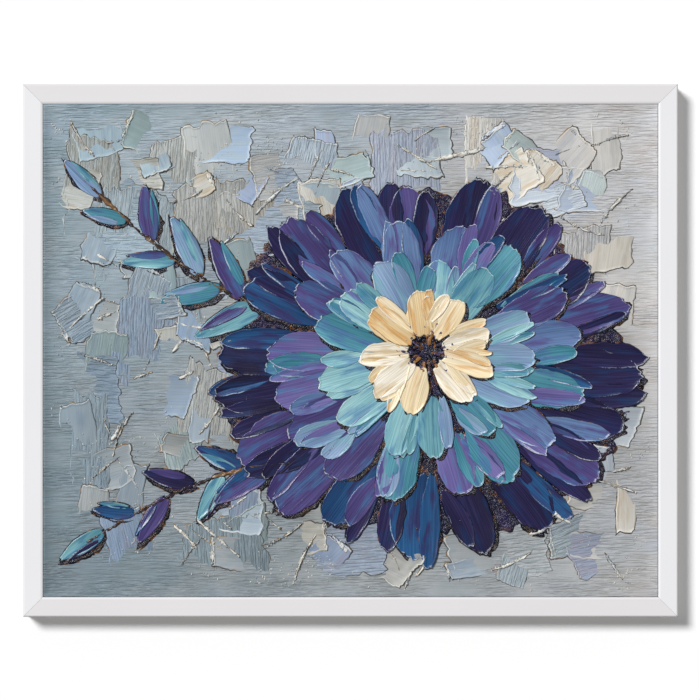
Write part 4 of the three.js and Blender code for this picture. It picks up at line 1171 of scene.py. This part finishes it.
zinc = pressed_metal("zinc_plated_steel", "#c3c6ca", "#9a9da0", gloss=0.3)
brass = pressed_metal("brass_plated_steel", "#d3ae62", "#a5813f", gloss=0.26)
staple_wire = pressed_metal("galvanised_staple_wire", "#b7babd", "#84878a", gloss=0.36)
fastener_tree, given, add = node_group("set_fasteners", {"Fastener": "Object", "Size": "Float",
                                                         "Metal": "Material"})
shape = add("GeometryNodeObjectInfo", {"Object": given["Fastener"]})
turned = add("GeometryNodeInputNamedAttribute", {"Name": "turn"}, data_type="FLOAT_VECTOR")
driven = add("GeometryNodeInstanceOnPoints",
             {"Points": given["Geometry"], "Instance": shape.outputs["Geometry"], "Rotation": turned,
              "Scale": given["Size"]})
real = add("GeometryNodeRealizeInstances", (driven,))
add("NodeGroupOutput", (add("GeometryNodeSetMaterial", {0: real, "Material": given["Metal"]}),))


def set_fasteners(name, shape, places, metal, slot, *replaced):
    """Sets a fastener at each [x, y, z, turn about Y] place, in millimetres, as one piece."""
    spots = make_piece(name, [(x * MM, y * MM, z * MM) for x, y, z, _ in places],
                       turn=[(0.0, turn, 0.0) for _, _, _, turn in places])
    grow(spots, fastener_tree, {"Fastener": shape, "Size": 1.0, "Metal": metal})
    bpy.data.objects.remove(shape)
    fix(spots, slot, *replaced)


WIRE_MM = 0.45
STAPLE_PITCH_MM = 46
STAPLE_INWARD_MM = 11
STAPLE_SUNK_MM = 0.1
STAPLE_END_MM = 16
CLIP_CLEAR_MM = 15
STAPLE_SHIFT_MM = 20
FLAP_REACH_MM = (33, 21)
# The wire's path over the crown: x, y, and how far its section leans over in each bend.
CROWN_MM = [(-5.5, -1.6, 1, 0), (-5.5, 0.1, 1, 0.2), (-5.0, 0.55, 0.6, 0.8),
            (5.0, 0.55, -0.6, 0.8), (5.5, 0.1, -1, 0.2), (5.5, -1.6, -1, 0)]
wire = [(WIRE_MM * math.cos(2 * math.pi * k / 8), WIRE_MM * math.sin(2 * math.pi * k / 8)) for k in range(8)]
staple = closed_piece("wire_staple", [[[(x - lean_x * a, y + lean_y * a, b) for a, b in wire]
                                       for x, y, lean_x, lean_y in CROWN_MM]])
places = []
for side_index, half_along in enumerate((*HALF_CANVAS_MM, *HALF_CANVAS_MM)):
    end = half_along - STAPLE_END_MM
    steps = int(2 * end / STAPLE_PITCH_MM)
    for k in range(steps + 1):
        along = -end + 2 * end * k / steps
        seed = 900 + 50 * side_index + k
        if any(i == side_index and abs(abs(along) - abs(offset)) < CLIP_CLEAR_MM
               for _, i, offset in CLIP_PLACES):
            along += STAPLE_SHIFT_MM
        x, z = on_side(side_index, about(along, 2, seed + 2), about(STAPLE_INWARD_MM, 1.5, seed),
                       HALF_CANVAS_MM)
        on_flap = all(np.abs(np.abs((x, z)) - HALF_CANVAS_MM) < FLAP_REACH_MM)
        over = FLAP_THICK_MM if on_flap else 0.0
        places.append((x, canvas_back + over - STAPLE_SUNK_MM, z,
                       about(side_index * math.pi / 2, 0.16, seed + 1)))
set_fasteners("canvas_staples", staple, places, staple_wire, "zinc_steel")

# Screws: a pan head with a cross recess, which two tapered cutters sink into it.
SCREW_INWARD_MM = 7.5
HEAD_HEIGHT_MM = 1.4
RECESS_ARM_MM = (0.42, 1.9)
RECESS_TAPER = ((0.3, 0.72), (2.0, 1.0))
screw_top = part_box("clip_screw_top_a")[1][1] / MM
screw = closed_piece("pan_head_screw", [lathe(
    [(0.05, -11), (1.5, -9), (1.5, 0), (3.2, 0), (3.2, 0.35), (3.04, 0.75), (2.624, 1.08), (1.92, 1.3),
     (0.6, HEAD_HEIGHT_MM)], sides=28)])
for wide, long in (RECESS_ARM_MM, RECESS_ARM_MM[::-1]):
    cutter = closed_piece("recess", [[[(sign_x * wide * taper, y, sign_z * long * taper)
                                       for sign_x, sign_z in CORNERS] for y, taper in RECESS_TAPER]])
    bite = screw.modifiers.new("bite", "BOOLEAN")
    bite.object = cutter
    bite.solver = "EXACT"
    bitten = bpy.data.meshes.new_from_object(screw.evaluated_get(bpy.context.evaluated_depsgraph_get()))
    screw.modifiers.remove(bite)
    screw.data = bitten
    bpy.data.objects.remove(cutter)
places = []
for number, (which, side_index, along) in enumerate(CLIP_PLACES):
    use_material(f"canvas_clip_{which}", zinc)
    x, z = on_side(side_index, along, SCREW_INWARD_MM, HALF_FRAME_MM)
    places.append((x, screw_top - HEAD_HEIGHT_MM, z, math.pi * scatter(950 + number)))
set_fasteners("clip_screws", screw, places, zinc, "zinc_steel",
              *(f"clip_screw_{which}" for which, _, _ in CLIP_PLACES))

use_material("sawtooth_hanger", brass)
NAIL_HEAD_HEIGHT_MM = 0.7
nail_low, nail_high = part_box("hanger_nail_left")
nail_x, nail_z = ((nail_low[axis] + nail_high[axis]) / 2 / MM for axis in (0, 2))
nail_y = nail_high[1] / MM - NAIL_HEAD_HEIGHT_MM
nail = closed_piece("hanger_nail", [lathe(
    [(0.05, -9.3), (0.9, -7.3), (0.9, 0), (2.2, 0), (2.2, 0.25), (1.76, 0.52), (0.88, 0.67),
     (0.3, NAIL_HEAD_HEIGHT_MM)], sides=24)])
set_fasteners("hanger_nails", nail, [(nail_x, nail_y, nail_z, 0.0), (-nail_x, nail_y, nail_z, 0.0)], brass,
              "brass_plate", "hanger_nail_left", "hanger_nail_right")

# Bumpers
# Stick-on pads of clear rubber that keep the lower edge off the wall.
rubber, add = new_material("clear_polyurethane_rubber")
dust = add("TexNoise", {"Vector": add("TexCoord").outputs["Object"], "Scale": 500.0})
tint = add("Mix", {0: add("MapRange", (dust, 0.4, 0.7)), 6: colour("#e6e6e2"), 7: colour("#cfcfc9")},
           data_type="RGBA")
body = add("BsdfPrincipled", {"Base Color": tint, "Roughness": add("MapRange", (dust, 0.3, 0.7, 0.22, 0.4)),
                              "IOR": 1.5, "Transmission Weight": 0.55})
add("OutputMaterial", (body,))
for which in ("left", "right"):
    use_material(f"bumper_{which}", rubber)
